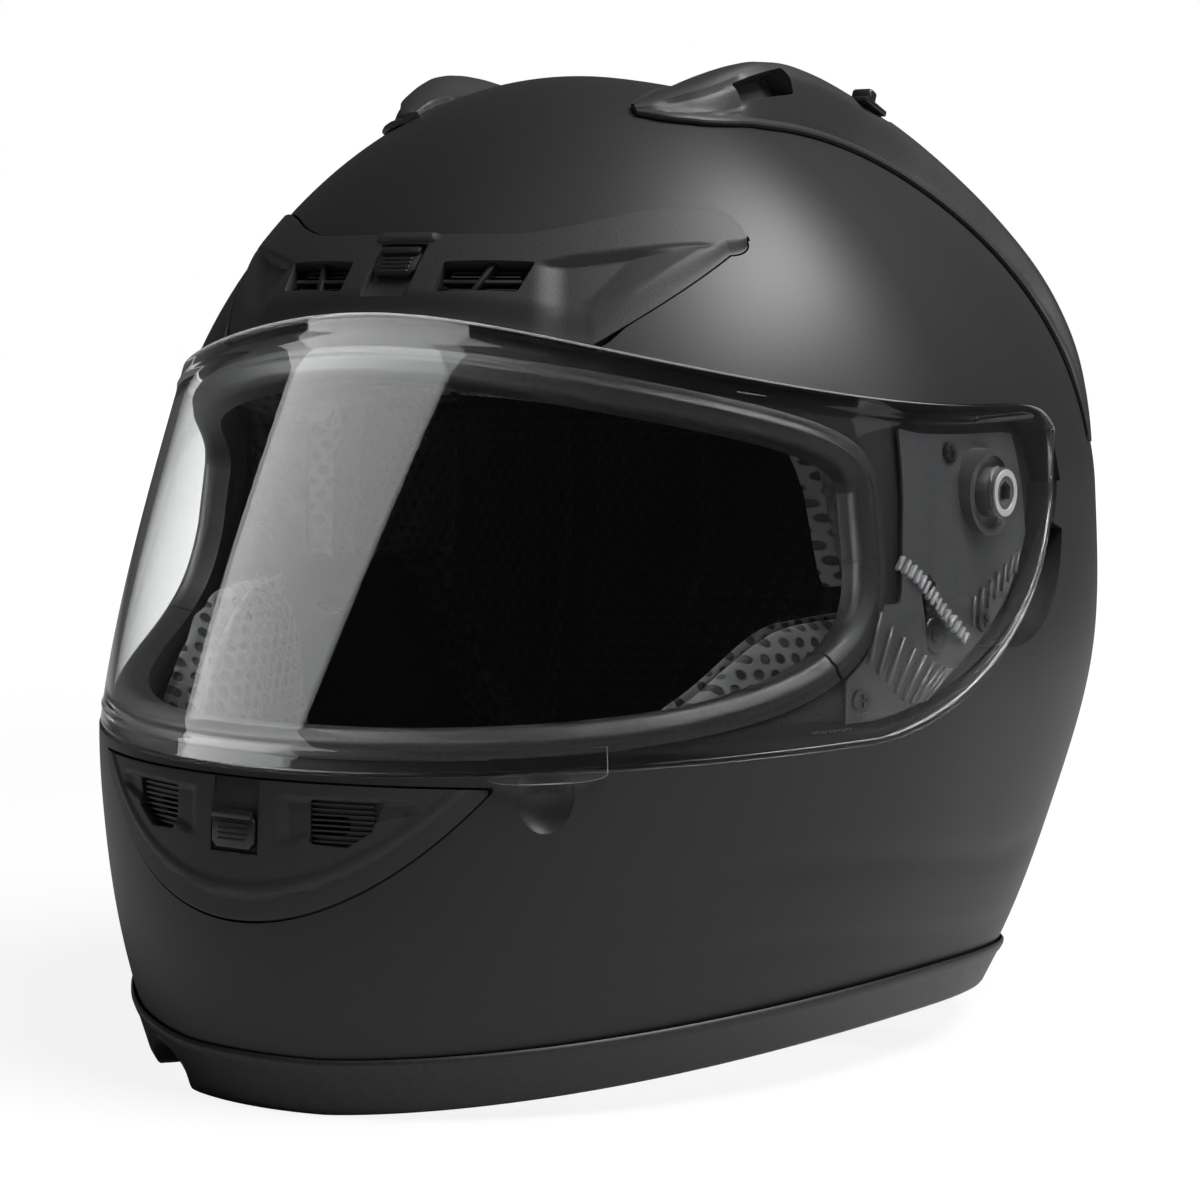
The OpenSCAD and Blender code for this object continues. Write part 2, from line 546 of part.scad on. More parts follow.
module side_plate_screws() {
    color([0.25, 0.25, 0.26]) for (m = [0, 1], q = screw_places) mirror([m, 0, 0])
        seat(q[0], at(q[1]), plate_out(q[0]) + 0.25) difference() {
            cylinder(r = 2.9, h = 0.9, $fn = 32);
            for (t = [0, 90]) rotate([0, 0, t]) translate([-1.6, -0.4, 0.3]) cube([3.2, 0.8, 1]);
        }
}

// ---------- visor ----------
module visor() {
    color([0.75, 0.8, 0.82, 0.35]) translate([0, pivot_y, pivot_z]) rotate([-visor_open, 0, 0])
        translate([0, -pivot_y, -pivot_z]) difference() {
            skin(crowded(visor_a, 44), 7, function(a) at(visor_low(a)), function(a) at(visor_top(a)),
                function(a, t) visor_off(t), function(a, t) visor_off(t) - visor_t);
            translate([-helmet_w, pivot_y, pivot_z]) rotate([0, 90, 0]) cylinder(r = pivot_r,
                h = 2 * helmet_w, $fn = 32);
        }
}

// ---------- retention ----------
// Flat webbing through points [x, z], its width along Y
module band(path, width, thick, y) {
    n = len(path);
    function turn(i) = let (d = path[min(i + 1, n - 1)] - path[max(i - 1, 0)]) [-d[1], d[0]] / norm(d);
    points = [for (i = [0:n - 1], s = [[-1, -1], [1, -1], [1, 1], [-1, 1]])
        let (q = path[i] + turn(i) * s[1] * thick / 2) [q[0], y + s[0] * width / 2, q[1]]];
    faces = concat([for (i = [0:n - 2], k = [0:3]) let (q = (k + 1) % 4)
        each [[4 * i + k, 4 * i + 4 + k, 4 * i + 4 + q], [4 * i + k, 4 * i + 4 + q, 4 * i + q]]],
        [[0, 1, 2, 3], [for (k = [3:-1:0]) 4 * n - 4 + k]]);
    polyhedron(points, faces);
}
strap_y = -4;
anchor_z = height(at(58));
anchor_x = form(foot([helmet_w / 2, strap_y, anchor_z])[0], at(58))[0] - shell_t - 9.16;
rivet_h = 5.4;
function strap_way(end_x) = [[anchor_x, anchor_z + 10], [anchor_x - 1, anchor_z - 8], [anchor_x - 8,
    34], [anchor_x - 24, 21],
    [60, 14], [40, 11], [end_x, 10]];
ring_x = 12;
ring_r = strap_w / 2 + ring_wire_r + 2.5;
ring_pitch = 2 * ring_wire_r + 0.4;
// The strap's end is folded round the straight bars of both rings
module strap_left() {
    loop = ring_wire_r + 0.4;
    color([0.05, 0.05, 0.05]) union() {
        band(strap_way(ring_x + loop + 1), strap_w, strap_t, strap_y);
        difference() {
            translate([ring_x - loop - strap_t, strap_y - strap_w / 2, 10 - loop - strap_t])
                cube([2 * (loop + strap_t), strap_w, ring_pitch + 2 * (loop + strap_t)]);
            translate([ring_x - loop, strap_y - strap_w, 10 - loop]) cube([2 * loop, 2 * strap_w,
                ring_pitch + 2 * loop]);
        }
    }
}
module strap_right() color([0.05, 0.05, 0.05]) mirror([1, 0, 0]) band(strap_way(14), strap_w,
    strap_t, strap_y);
module strap_anchors() {
    color([0.4, 0.4, 0.42]) for (m = [0, 1]) mirror([m, 0, 0]) translate([anchor_x, strap_y, anchor_z]) {
        translate([1.6, -10, -6]) cube([1.5, 20, 18]);
        translate([3.1, 0, 4]) rotate([0, 90, 0]) cylinder(r = 4, h = rivet_h, $fn = 32);
    }
}
// D-shaped ring: a half circle and a straight bar
module d_ring(x, lift) {
    translate([x, strap_y, 10 + lift]) {
        rotate([0, 0, 90]) rotate_extrude(angle = 180, $fn = 48) translate([ring_r,
            0]) circle(ring_wire_r, $fn = 20);
        rotate([90, 0, 0]) cylinder(r = ring_wire_r, h = 2 * ring_r, center = true, $fn = 20);
    }
}
module ring_inner() color([0.6, 0.6, 0.62]) d_ring(ring_x, 0);
module ring_outer() color([0.6, 0.6, 0.62]) d_ring(ring_x, ring_pitch);
module snap_button() color([0.1, 0.1, 0.1]) translate([-40, strap_y, 11 + strap_t]) cylinder(r = 6,
    h = 2.4, $fn = 32);
snap_places = [[40, 60], [64, 50], [74, 92]];
module pad_snaps() {
    color([0.1, 0.1, 0.1]) for (m = [0, 1], q = snap_places) mirror([m, 0, 0])
        seat(q[0], at(q[1]), frame_off - fit_gap - 2.2) cylinder(r = 5, h = q[1] < 80 ? 9.2 : 2.2,
            $fn = 32);
}

outer_shell();
bottom_trim();
gasket_upper();
gasket_lower();
crown_foam();
chin_foam();
crown_liner();
cheek_pad_left();
cheek_pad_right();
neck_roll();
brow_vent_cover();
brow_vent_slider();
chin_vent_cover();
chin_vent_slider();
top_scoop_left();
top_scoop_right();
scoop_slider_left();
scoop_slider_right();
rear_exhaust_cover();
side_plate_left();
side_plate_right();
side_plate_screws();
lock_lever_left();
lock_lever_right();
visor();
strap_left();
strap_right();
strap_anchors();
ring_inner();
ring_outer();
snap_button();
pad_snaps();
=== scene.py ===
# %% [markdown]
# # A full-face motorcycle helmet
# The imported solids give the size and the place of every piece. This lesson dresses them: each shell,
# cover, pad and clip gets a smooth mesh and a finish worked out from nodes.

# %% Load the frame
import math
import bpy
import bmesh
import numpy as np
from mathutils import Matrix, Vector


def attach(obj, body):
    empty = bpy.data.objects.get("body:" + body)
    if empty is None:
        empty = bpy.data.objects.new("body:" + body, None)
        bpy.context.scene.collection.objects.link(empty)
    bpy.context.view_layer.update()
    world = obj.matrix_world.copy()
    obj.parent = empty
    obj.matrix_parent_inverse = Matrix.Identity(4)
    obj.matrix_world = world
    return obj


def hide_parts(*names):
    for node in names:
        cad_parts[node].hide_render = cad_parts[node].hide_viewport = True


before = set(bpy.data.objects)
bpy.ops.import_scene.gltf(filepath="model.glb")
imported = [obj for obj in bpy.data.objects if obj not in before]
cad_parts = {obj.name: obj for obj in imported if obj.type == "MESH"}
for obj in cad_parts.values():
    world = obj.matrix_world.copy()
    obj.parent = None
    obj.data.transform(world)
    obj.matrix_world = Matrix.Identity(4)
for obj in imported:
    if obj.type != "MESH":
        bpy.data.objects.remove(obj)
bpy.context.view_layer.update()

# %% [markdown]
# ## The form
# A helmet shell is one doubly curved form. Everything on it (visor, vents, gasket, trim) follows that
# form at some offset, so the form is written once, as a point for an angle from the front and a height.
# Heights are millimetres here and become metres when a mesh is made.

# %% Form of the shell
TALL, BROAD, LONG = 262.0, 252.0, 322.0
WIDEST = 150 / 262
LEVEL = np.array([0, 25 / 262, 60 / 262, 100 / 262, WIDEST])
WIDE = BROAD / 2 * np.array([0.766, 0.862, 0.95, 1, 0.968])
FORE = -LONG / 2 * np.array([0.955, 0.988, 1, 0.97, 0.792])
AFT = LONG / 2 * np.array([0.615, 0.696, 0.795, 0.93, 1])
MID_LOW, MID_TOP = -10.0, -20.6
GAP = np.diff(LEVEL)


def cubic(s, last, u):
    "Smooth curve through the stations below the widest level"
    u = np.clip(u, 0, WIDEST)
    r = np.diff(s) / GAP
    m = [1.5 * r[0] - 0.5 * (r[0] * GAP[1] + r[1] * GAP[0]) / (GAP[0] + GAP[1])]
    m += [(r[i - 1] * GAP[i] + r[i] * GAP[i - 1]) / (GAP[i - 1] + GAP[i]) for i in (1, 2, 3)] + [last]
    m = np.array(m)
    i = np.clip(np.searchsorted(LEVEL, u, side="right") - 1, 0, 3)
    t = (u - LEVEL[i]) / GAP[i]
    return (s[i] * (2 * t**3 - 3 * t**2 + 1) + s[i + 1] * (3 * t**2 - 2 * t**3)
            + GAP[i] * (m[i] * (t**3 - 2 * t**2 + t) + m[i + 1] * (t**3 - t**2)))


def reach(s, mid, swell, v):
    p = np.pi / 2 * (np.clip(v, WIDEST, 1) - WIDEST) / (1 - WIDEST)
    return np.where(v > WIDEST, mid + (s[4] - mid) * np.cos(p) * (1 - swell * np.sin(p)),
                    cubic(s, (mid - s[4]) * swell / (1 - WIDEST), v))


def crown(v):
    "0 below the widest level, rising to 1 at the top"
    return np.where(v > WIDEST, np.sin(np.pi / 2 * (v - WIDEST) / (1 - WIDEST)), 0)


def at(z):
    "Surface parameter for a height"
    u = np.asarray(z, float) / TALL
    return np.where(u > WIDEST, WIDEST + (1 - WIDEST)
                    * np.arcsin(np.clip((u - WIDEST) / (1 - WIDEST), -1, 1)) / (np.pi / 2), u)


def form(a, v):
    a, v = np.broadcast_arrays(np.asarray(a, float), np.asarray(v, float))
    ar, w, top = np.radians(a), reach(WIDE, 0, 0.07, v), crown(v)
    mid = MID_LOW + (MID_TOP - MID_LOW) * top
    front = np.cos(ar) > 0
    half = np.where(front, mid - reach(FORE, MID_TOP, 0.29, v), reach(AFT, MID_TOP, -0.01, v) - mid)
    n = np.where(front, 2, 2.28)
    r = (np.abs(np.sin(ar) / w) ** n + np.abs(np.cos(ar) / half) ** n) ** (-1 / n)
    z = TALL * np.where(v > WIDEST, WIDEST + (1 - WIDEST) * top, v)
    return np.stack([r * np.sin(ar), mid - r * np.cos(ar), z], -1)


def unit(v):
    return v / np.linalg.norm(v, axis=-1, keepdims=True)


def normal(a, v):
    return unit(np.cross(form(a + 0.4, v) - form(a - 0.4, v),
                         form(a, np.minimum(v + 0.003, 0.998)) - form(a, np.maximum(v - 0.003, 0))))


def on(a, v, off):
    a, v, off = np.broadcast_arrays(np.asarray(a, float), np.asarray(v, float), np.asarray(off, float))
    return form(a, v) + normal(a, v) * off[..., None]


def foot(p):
    "Angle and surface parameter of a point near the form"
    v = at(np.minimum(p[..., 2], 0.9995 * TALL))
    middle = MID_LOW + (MID_TOP - MID_LOW) * crown(v)
    return np.degrees(np.arctan2(p[..., 0], middle - p[..., 1])), v


print("crown of the form", on(0, 1, 0).round(1))

# %% [markdown]
# ## Edges that the pieces share
# The lower rim arches over the shoulders. The eye port, the visor and the recess it sits in are
# rounded boxes in angle and height, so their outlines are functions of the angle alone.

# %% Outlines
def ramp(x, start, end):
    t = np.clip((x - start) / (end - start), 0, 1)
    return t * t * (3 - 2 * t)


def rounded(t, n):
    return (1 - np.minimum(np.abs(t), 0.999) ** n) ** (1 / n)


def cos2(a):
    return np.cos(np.radians(a)) ** 2


PORT_A, VISOR_A, BROW_A, CHIN_A = 72.5, 113.5, 63.5, 25.5
PIVOT = np.array([0, 4.0, 151.0])
SHELL_T, VISOR_T, TRIM_H = 4.0, 2.2, 15.0
RECESS, SIDE, FRAME_IN = -5.4, -9.4, -11.6


def rim(a):
    return 13 * (np.maximum(0, np.abs(np.sin(np.radians(a))) - 0.14) / 0.86) ** 1.2


def port_top(a):
    return 145 + (27 + 16.5 * cos2(a)) * rounded(a / PORT_A, 4.5)


def port_low(a):
    return 145 - 53.5 * rounded(a / PORT_A, 3.1)


def visor_top(a):
    return 155 + (19 + 21.5 * cos2(a)) * rounded(a / VISOR_A, 7)


def visor_low(a):
    b = np.abs(a)
    return 155 - (69 - 6 * (1 - cos2(a))) * np.where(b < 70, 1, rounded((b - 70) / (VISOR_A - 70), 1.55))


def brow_low(a):
    b = np.abs(a)
    tip = 216.2 - 4 * np.sqrt(1 - np.clip((b - 59.7) / 3.8, 0, 1) ** 2)
    return np.where(b < 59.7, np.maximum(visor_top(a) + 1.4, 190 + (b - 37) * 0.98), tip)


def brow_top(a):
    b = np.abs(a)
    tip = 216.2 + 7.4 * np.sqrt(1 - np.clip((b - 59.2) / 4.3, 0, 1) ** 2)
    return np.minimum(216.4 + 6.8 * ramp(b, 22, 54), tip)


def chin_low(a):
    return 47.8 + 33.8 * (a / CHIN_A) ** 2


CHIN_TOP = 82.8
SIDES = ((1, "left"), (-1, "right"))


def visor_off(t):
    return -0.3 + 2.9 * t**1.5


def recess_floor(a):
    return RECESS + (SIDE - RECESS) * ramp(np.abs(a), 76, 84)


def span(start, end, n):
    return np.linspace(start, end, n + 1)


def crowded(half, n):
    "Angles that crowd towards both ends of a patch"
    return -half * np.cos(np.pi * np.arange(n + 1) / n)


# %% [markdown]
# ## Turning numbers into meshes
# Four builders cover every hard piece: a closed skin between two offsets, a dome, a bar swept along
# the form, and a seat that places small shapes upright on the surface. NumPy makes the points, and one
# call turns them into a mesh object whose origin stays at the frame's origin. Edges and offsets are
# given as plain numbers or as functions of the angle.

# %% Mesh builders
def shade(me, angle):
    "Smooth shading, sharp where faces meet at more than the angle"
    me.shade_smooth()
    me.set_sharp_from_angle(angle=math.radians(angle))


def add_object(name, data):
    ob = bpy.data.objects.new(name, data)
    bpy.context.scene.collection.objects.link(ob)
    return ob


def mesh_object(name, points, faces, smooth=40):
    me = bpy.data.meshes.new(name)
    me.from_pydata((np.asarray(points, float) * 0.001).tolist(), [], [list(map(int, f)) for f in faces])
    me.validate()
    me.update()
    if smooth:
        shade(me, smooth)
    return add_object(name, me)


def grid_faces(n, m, base=0, flip=False, wrap=False):
    i, j = np.meshgrid(np.arange(n if wrap else n - 1), np.arange(m - 1), indexing="ij")
    p, q = base + i * m + j, base + ((i + 1) % n) * m + j
    f = np.stack([p, q, q + 1, p + 1], -1).reshape(-1, 4)
    return f[:, ::-1] if flip else f


def value(rule, *place):
    "A rule is a number, or a function of the place"
    return (rule(*place) if callable(rule) else rule) + 0 * place[0]


def skin(name, angles, rows, lo, hi, outer, inner, smooth=40):
    "Closed skin from edge lo to edge hi, between two offsets of the form"
    a = np.asarray(angles, float)[:, None]
    t = np.linspace(0, 1, rows + 1)[None, :] if np.isscalar(rows) else np.asarray(rows, float)[None, :]
    v = at(value(lo, a)) * (1 - t) + at(value(hi, a)) * t
    a, t = np.broadcast_arrays(a, t)
    return closed_sheet(name, on(a, v, value(outer, a, t)), on(a, v, value(inner, a, t)), smooth)


def closed_sheet(name, outside, inside, smooth=40):
    "Closed skin from two grids of points"
    n, m = outside.shape[:2]
    pts = np.concatenate([outside.reshape(-1, 3), inside.reshape(-1, 3)])
    k = n * m
    rim_ids = [i * m for i in range(n)] + [(n - 1) * m + j for j in range(1, m)]
    rim_ids += [i * m + m - 1 for i in range(n - 2, -1, -1)] + [j for j in range(m - 2, 0, -1)]
    rim_ids = np.array(rim_ids)
    nxt = np.roll(rim_ids, -1)
    faces = np.concatenate([grid_faces(n, m), grid_faces(n, m, k, True),
                            np.stack([rim_ids, rim_ids + k, nxt + k, nxt], -1)])
    return mesh_object(name, pts, faces, smooth)


def dome(name, sides, rows, inner_rows, lo, outer, inner, smooth=40):
    "Closed dome between two offsets, open below"
    a = np.arange(sides)[:, None] * 360 / sides
    parts, faces, base = [], [], 0
    for count, off, flip in ((rows, outer, False), (inner_rows, inner, True)):
        t = np.linspace(0, 1, count + 1)[None, :]
        v = at(lo(a)) * (1 - t) + 0.995 * t
        parts.append(on(a, v, value(off, a + 0 * t, v)).reshape(-1, 3))
        faces += grid_faces(sides, count + 1, base, flip, True).tolist()
        top = [base + i * (count + 1) + count for i in range(sides)]
        faces.append(top[::-1] if flip else top)
        base += sides * (count + 1)
    k = sides * (rows + 1)
    for i in range(sides):
        j = (i + 1) % sides
        faces.append([i * (rows + 1), k + i * (inner_rows + 1), k + j * (inner_rows + 1), j * (rows + 1)])
    return mesh_object(name, np.concatenate(parts), faces, smooth)


def tube_faces(n, m, closed=False):
    "Faces of n rings of m points, with end caps unless the rings close on themselves"
    faces = []
    for i in range(n if closed else n - 1):
        p = (i + 1) % n
        faces += [[i * m + k, i * m + (k + 1) % m, p * m + (k + 1) % m, p * m + k] for k in range(m)]
    if not closed:
        faces += [list(range(m))[::-1], [(n - 1) * m + k for k in range(m)]]
    return faces


def rail(name, a, z, section, closed=False, smooth=40):
    "Bar swept along points of the form; section(i) lists [across, off] points"
    a, v = np.asarray(a, float), at(z)
    core, out = form(a, v), normal(a, v)
    along = np.roll(core, -1, 0) - np.roll(core, 1, 0)
    if not closed:
        along[0], along[-1] = core[1] - core[0], core[-1] - core[-2]
    across = unit(np.cross(out, unit(along)))
    sec = np.array([section(i) for i in range(len(a))], float)
    pts = core[:, None] + across[:, None] * sec[..., :1] + out[:, None] * sec[..., 1:2]
    n, m = sec.shape[:2]
    x, y = sec[0].T
    turned = np.sum(x * np.roll(y, -1) - np.roll(x, -1) * y) < 0
    faces = tube_faces(n, m, closed)
    if not turned:
        faces = [f[::-1] for f in faces]
    return mesh_object(name, pts.reshape(-1, 3), faces, smooth)


def seat(a, z, off=0.0, turn=0.0):
    "Matrix in millimetres: +Z outwards, +Y up the shell"
    p, n = on(a, at(z), off), normal(a, at(z))
    side = unit(np.cross([0, 0, 1], n))
    up = np.cross(n, side)
    m = Matrix([[side[i], up[i], n[i], p[i]] for i in range(3)] + [[0, 0, 0, 1]])
    return m @ Matrix.Rotation(math.radians(turn), 4, "Z")


# %% Finishing helpers
def settle(ob, smooth=40):
    "Apply an object's modifiers to its mesh"
    deps = bpy.context.evaluated_depsgraph_get()
    me = bpy.data.meshes.new_from_object(ob.evaluated_get(deps))
    ob.modifiers.clear()
    ob.data = me
    if smooth:
        shade(me, smooth)
    return ob


def carve(ob, cutters, operation="DIFFERENCE", smooth=40):
    for c in cutters:
        mod = ob.modifiers.new(c.name, "BOOLEAN")
        mod.operation, mod.solver, mod.object = operation, "MANIFOLD", c
        settle(ob, 0)
        bpy.data.objects.remove(c)
    return settle(ob, smooth)


def soften(ob, width, segments=2, angle=35, smooth=40):
    mod = ob.modifiers.new("edges", "BEVEL")
    mod.width, mod.segments, mod.use_clamp_overlap = width / 1000, segments, True
    mod.limit_method, mod.angle_limit = "ANGLE", math.radians(angle)
    return settle(ob, smooth)


def box_at(name, matrix, lo, hi):
    pts = [matrix @ Vector((x, y, z)) for z in (lo[2], hi[2]) for y in (lo[1], hi[1]) for x in (lo[0], hi[0])]
    faces = [[0, 2, 3, 1], [4, 5, 7, 6], [0, 1, 5, 4], [2, 6, 7, 3], [0, 4, 6, 2], [1, 3, 7, 5]]
    return mesh_object(name, pts, faces, 0)


def soft_box(matrix, lo, hi, edge, segments=2, angle=30):
    return soften(box_at("block", matrix, lo, hi), edge, segments, angle)


def prism(name, matrix, outline, low, high):
    "Upright prism over a flat outline [x, y], anticlockwise"
    n = len(outline)
    pts = [matrix @ Vector((x, y, z)) for z in (low, high) for x, y in outline]
    faces = [list(range(n))[::-1], list(range(n, 2 * n))]
    faces += [[i, (i + 1) % n, n + (i + 1) % n, n + i] for i in range(n)]
    return mesh_object(name, pts, faces, 0)


def circle(r, n=48, x=0.0, y=0.0):
    return [(x + r * math.cos(2 * math.pi * i / n), y + r * math.sin(2 * math.pi * i / n)) for i in range(n)]


def stadium(wide, tall, n=12):
    s, r = (wide - tall) / 2, tall / 2
    right = [(s + r * math.cos(t), r * math.sin(t)) for t in np.linspace(-math.pi / 2, math.pi / 2, n)]
    return right + [(-x, -y) for x, y in right]


def mirror(me):
    "Swap the wearer's left and right"
    me.transform(Matrix.Scale(-1, 4, (1, 0, 0)))
    me.flip_normals()


def join(name, obs):
    "One object from several, so a piece of many parts stays one piece"
    bm = bmesh.new()
    for o in obs:
        bm.from_mesh(o.data)
    me = bpy.data.meshes.new(name)
    bm.to_mesh(me)
    bm.free()
    for o in obs:
        bpy.data.objects.remove(o)
    return add_object(name, me)


SIDE_TURN = Matrix.Translation(Vector(PIVOT)) @ Matrix.Rotation(math.pi / 2, 4, "Y")

# %% [markdown]
# ## Writing materials as sums
# A finish is arithmetic on patterns: a bit of noise here, a mask times a colour there. A small class
# wraps a socket so that such sums can be written as Python expressions, and each operator adds the
# Math node that does it.

# %% Socket arithmetic
class Sock:
    def __init__(self, mat, out):
        self.mat, self.out = mat, out

    def _math(self, op, other, turned=False):
        a, b = (other, self) if turned else (self, other)
        return self.mat.add("ShaderNodeMath", {"operation": op}, {0: a, 1: b})

    def __add__(self, o): return self._math("ADD", o)
    def __radd__(self, o): return self._math("ADD", o)
    def __sub__(self, o): return self._math("SUBTRACT", o)
    def __rsub__(self, o): return self._math("SUBTRACT", o, True)
    def __mul__(self, o): return self._math("MULTIPLY", o)
    def most(self, o): return self._math("MAXIMUM", o)
    def clip(self, hi=1.0): return self._math("MINIMUM", hi).most(0.0)
    def sin(self): return self.mat.add("ShaderNodeMath", {"operation": "SINE"}, {0: self})

    def smooth(self, lo, hi):
        "0 below lo, 1 above hi"
        values = {0: self, 1: lo, 2: hi, 3: 0.0, 4: 1.0}
        return self.mat.add("ShaderNodeMapRange", {"interpolation_type": "SMOOTHSTEP"}, values)


class Nodes:
    "A node tree to which nodes are added by kind, settings and input values"
    def __init__(self, tree):
        self.t = tree

    def add(self, kind, settings, values, out=0):
        n = self.t.nodes.new(kind)
        for k, v in settings.items():
            setattr(n, k, v)
        for k, v in values.items():
            s = n.inputs[k]
            if isinstance(v, Sock):
                self.t.links.new(v.out, s)
            else:
                s.default_value = v
        return Sock(self, n.outputs[out])

    def light(self, word):
        "What the Light Path node says about a ray"
        return self.add("ShaderNodeLightPath", {}, {}, word)

    def unscattered(self):
        "1 until a ray has met something that is not clear"
        return (1 - self.light("Diffuse Depth").clip()) * (1 - self.light("Glossy Depth").clip())


class Finish(Nodes):
    "One material, built node by node"
    def __init__(self, name, color=(0.02, 0.02, 0.02), rough=0.5, metal=0.0, **constants):
        self.m = bpy.data.materials.new(name)
        self.m.use_nodes = True
        super().__init__(self.m.node_tree)
        self.b = self.t.nodes["Principled BSDF"]
        self.b.inputs["Base Color"].default_value = (*color, 1)
        self.b.inputs["Roughness"].default_value = rough
        self.b.inputs["Metallic"].default_value = metal
        for k, v in constants.items():
            self.b.inputs[k.replace("_", " ")].default_value = v
        self.place = self.add("ShaderNodeTexCoord", {}, {}, "Object")

    def noise(self, scale, detail=2.0, rough=0.5):
        values = {"Vector": self.place, "Scale": scale, "Detail": detail, "Roughness": rough}
        return self.add("ShaderNodeTexNoise", {}, values)

    def cells(self, scale):
        return self.add("ShaderNodeTexVoronoi", {}, {"Vector": self.place, "Scale": scale})

    def dot(self, x, y, z):
        return self.add("ShaderNodeVectorMath", {"operation": "DOT_PRODUCT"},
                        {0: self.place, 1: (x, y, z)}, 1)

    def stored(self, word):
        "A number stored on the mesh"
        return self.add("ShaderNodeAttribute", {"attribute_name": word}, {}, "Fac")

    def blend(self, factor, low, high):
        low, high = (c if isinstance(c, Sock) else (*c, 1) for c in (low, high))
        return self.add("ShaderNodeMix", {"data_type": "RGBA"}, {0: factor, 6: low, 7: high}, 2)

    def feed(self, socket, value):
        self.t.links.new(value.out, self.b.inputs[socket])
        return self

    def tint(self, factor, low, high):
        return self.feed("Base Color", self.blend(factor, low, high))

    def bump(self, height, distance, strength=1.0):
        n = self.add("ShaderNodeBump", {}, {"Height": height, "Distance": distance, "Strength": strength})
        return self.feed("Normal", n)


# %% [markdown]
# ## Finishes of the hard pieces
# The shell is sprayed with a satin black that shows a very fine grain. Vent covers and side plates are
# moulded with a spark-eroded texture, which is coarser and duller. Rubber is darker still. Each one
# varies its roughness a little, because an even roughness looks like computer plastic.

# %% Paint, plastics, rubber
paint = Finish("satin_black_paint", (0.0165, 0.0165, 0.0172), 0.44, Specular_IOR_Level=0.42)
grain = paint.noise(2600, 1.0)
drift = paint.noise(14, 2.0)
# Where the shell sinks round the visor, the base colour is painted almost black as painted shade, and the
# roughness rises
recess_shade = paint.stored("recess_shade")
paint.feed("Roughness", 0.40 + grain * 0.06 + drift * 0.05 + recess_shade * 0.25)
sprayed = paint.blend(grain.smooth(0.3, 0.75), (0.0098, 0.0098, 0.0102), (0.0148, 0.0148, 0.0155))
paint.tint(recess_shade, sprayed, (0.003, 0.003, 0.003))
paint.bump(grain, 0.00002, 0.5)

moulded = Finish("moulded_black", (0.018, 0.018, 0.0185), 0.5, Specular_IOR_Level=0.4)
pits = moulded.cells(1500)
moulded.feed("Roughness", 0.46 + moulded.noise(40) * 0.1)
moulded.tint(pits.smooth(0.1, 0.6), (0.014, 0.014, 0.0145), (0.021, 0.021, 0.022))
moulded.bump(pits, 0.00003, 0.6)

coarse = Finish("coarse_black", (0.02, 0.02, 0.02), 0.6, Specular_IOR_Level=0.4)
spark = coarse.cells(900)
coarse.feed("Roughness", 0.5 + spark * 0.3)
coarse.tint(spark.smooth(0.15, 0.55), (0.030, 0.030, 0.031), (0.012, 0.012, 0.0125))
coarse.bump(spark, 0.00012, 0.8)

slick = Finish("slick_black", (0.012, 0.012, 0.0125), 0.28)
slick.feed("Roughness", 0.22 + slick.noise(120) * 0.14)
slick.bump(slick.noise(900), 0.00001, 0.5)

rubber = Finish("rubber_black", (0.013, 0.013, 0.013), 0.5, Specular_IOR_Level=0.45)
skin_grain = rubber.noise(700, 3.0)
rubber.feed("Roughness", 0.36 + skin_grain * 0.2)
rubber.tint(skin_grain.smooth(0.3, 0.7), (0.010, 0.010, 0.0105), (0.018, 0.018, 0.0185))
rubber.bump(skin_grain, 0.00003, 0.5)

steel = Finish("polished_nickel", (0.55, 0.55, 0.56), 0.22, 1.0)
scratch = steel.noise(300, 4.0, 0.7)
steel.feed("Roughness", 0.14 + scratch * 0.22)
steel.bump(scratch, 0.00001, 0.4)

dark_steel = Finish("black_oxide_steel", (0.06, 0.06, 0.062), 0.35, 0.9)
tooling = dark_steel.noise(600, 3.0)
dark_steel.feed("Roughness", 0.25 + tooling * 0.3)
dark_steel.bump(tooling, 0.00001, 0.5)

smoky = Finish("smoky_nylon", (0.32, 0.32, 0.33), 0.2, Specular_IOR_Level=0.7)
smoky.feed("Roughness", 0.12 + smoky.noise(400) * 0.16)
smoky.bump(smoky.noise(900), 0.00002, 0.4)

plate_grey = Finish("plate_grey", (0.045, 0.045, 0.047), 0.45, Specular_IOR_Level=0.5)
fine_pits = plate_grey.cells(1600)
plate_grey.feed("Roughness", 0.36 + plate_grey.noise(60) * 0.16)
plate_grey.tint(fine_pits.smooth(0.1, 0.6), (0.035, 0.035, 0.037), (0.055, 0.055, 0.058))
plate_grey.bump(fine_pits, 0.00003, 0.5)

grey_rib = Finish("grey_rib", (0.09, 0.09, 0.093), 0.35, Specular_IOR_Level=0.6)
grey_rib.feed("Roughness", 0.26 + grey_rib.noise(300) * 0.18)
grey_rib.bump(grey_rib.noise(900), 0.00002, 0.4)

foam = Finish("bead_foam", (0.022, 0.022, 0.023), 0.7, Specular_IOR_Level=0.3)
beads = foam.cells(330)
foam.feed("Roughness", 0.62 + beads * 0.3)
foam.tint(beads.smooth(0.35, 0.75), (0.028, 0.028, 0.029), (0.010, 0.010, 0.010))
foam.bump(1 - beads, 0.0004, 0.6)

# %% [markdown]
# ## Clear polycarbonate
# The visor is a real wall of clear plastic, so it is given transmission and a polished surface.
# Hard-coated visors carry faint haze, which is a touch of roughness from a slow noise.

# %% Visor plastic
clear = Finish("clear_polycarbonate", (0.96, 0.97, 0.97), 0.02, IOR=1.22, Transmission_Weight=1.0)
cut_edge = clear.stored("cut_edge")
clear.feed("Roughness", 0.004 + clear.noise(30) * 0.012 + cut_edge * 0.5)

# %% Soft finishes
mesh_cloth = Finish("spacer_mesh", (0.03, 0.03, 0.031), 0.75, Sheen_Weight=0.15, Sheen_Roughness=0.4,
                    Specular_IOR_Level=0.3)


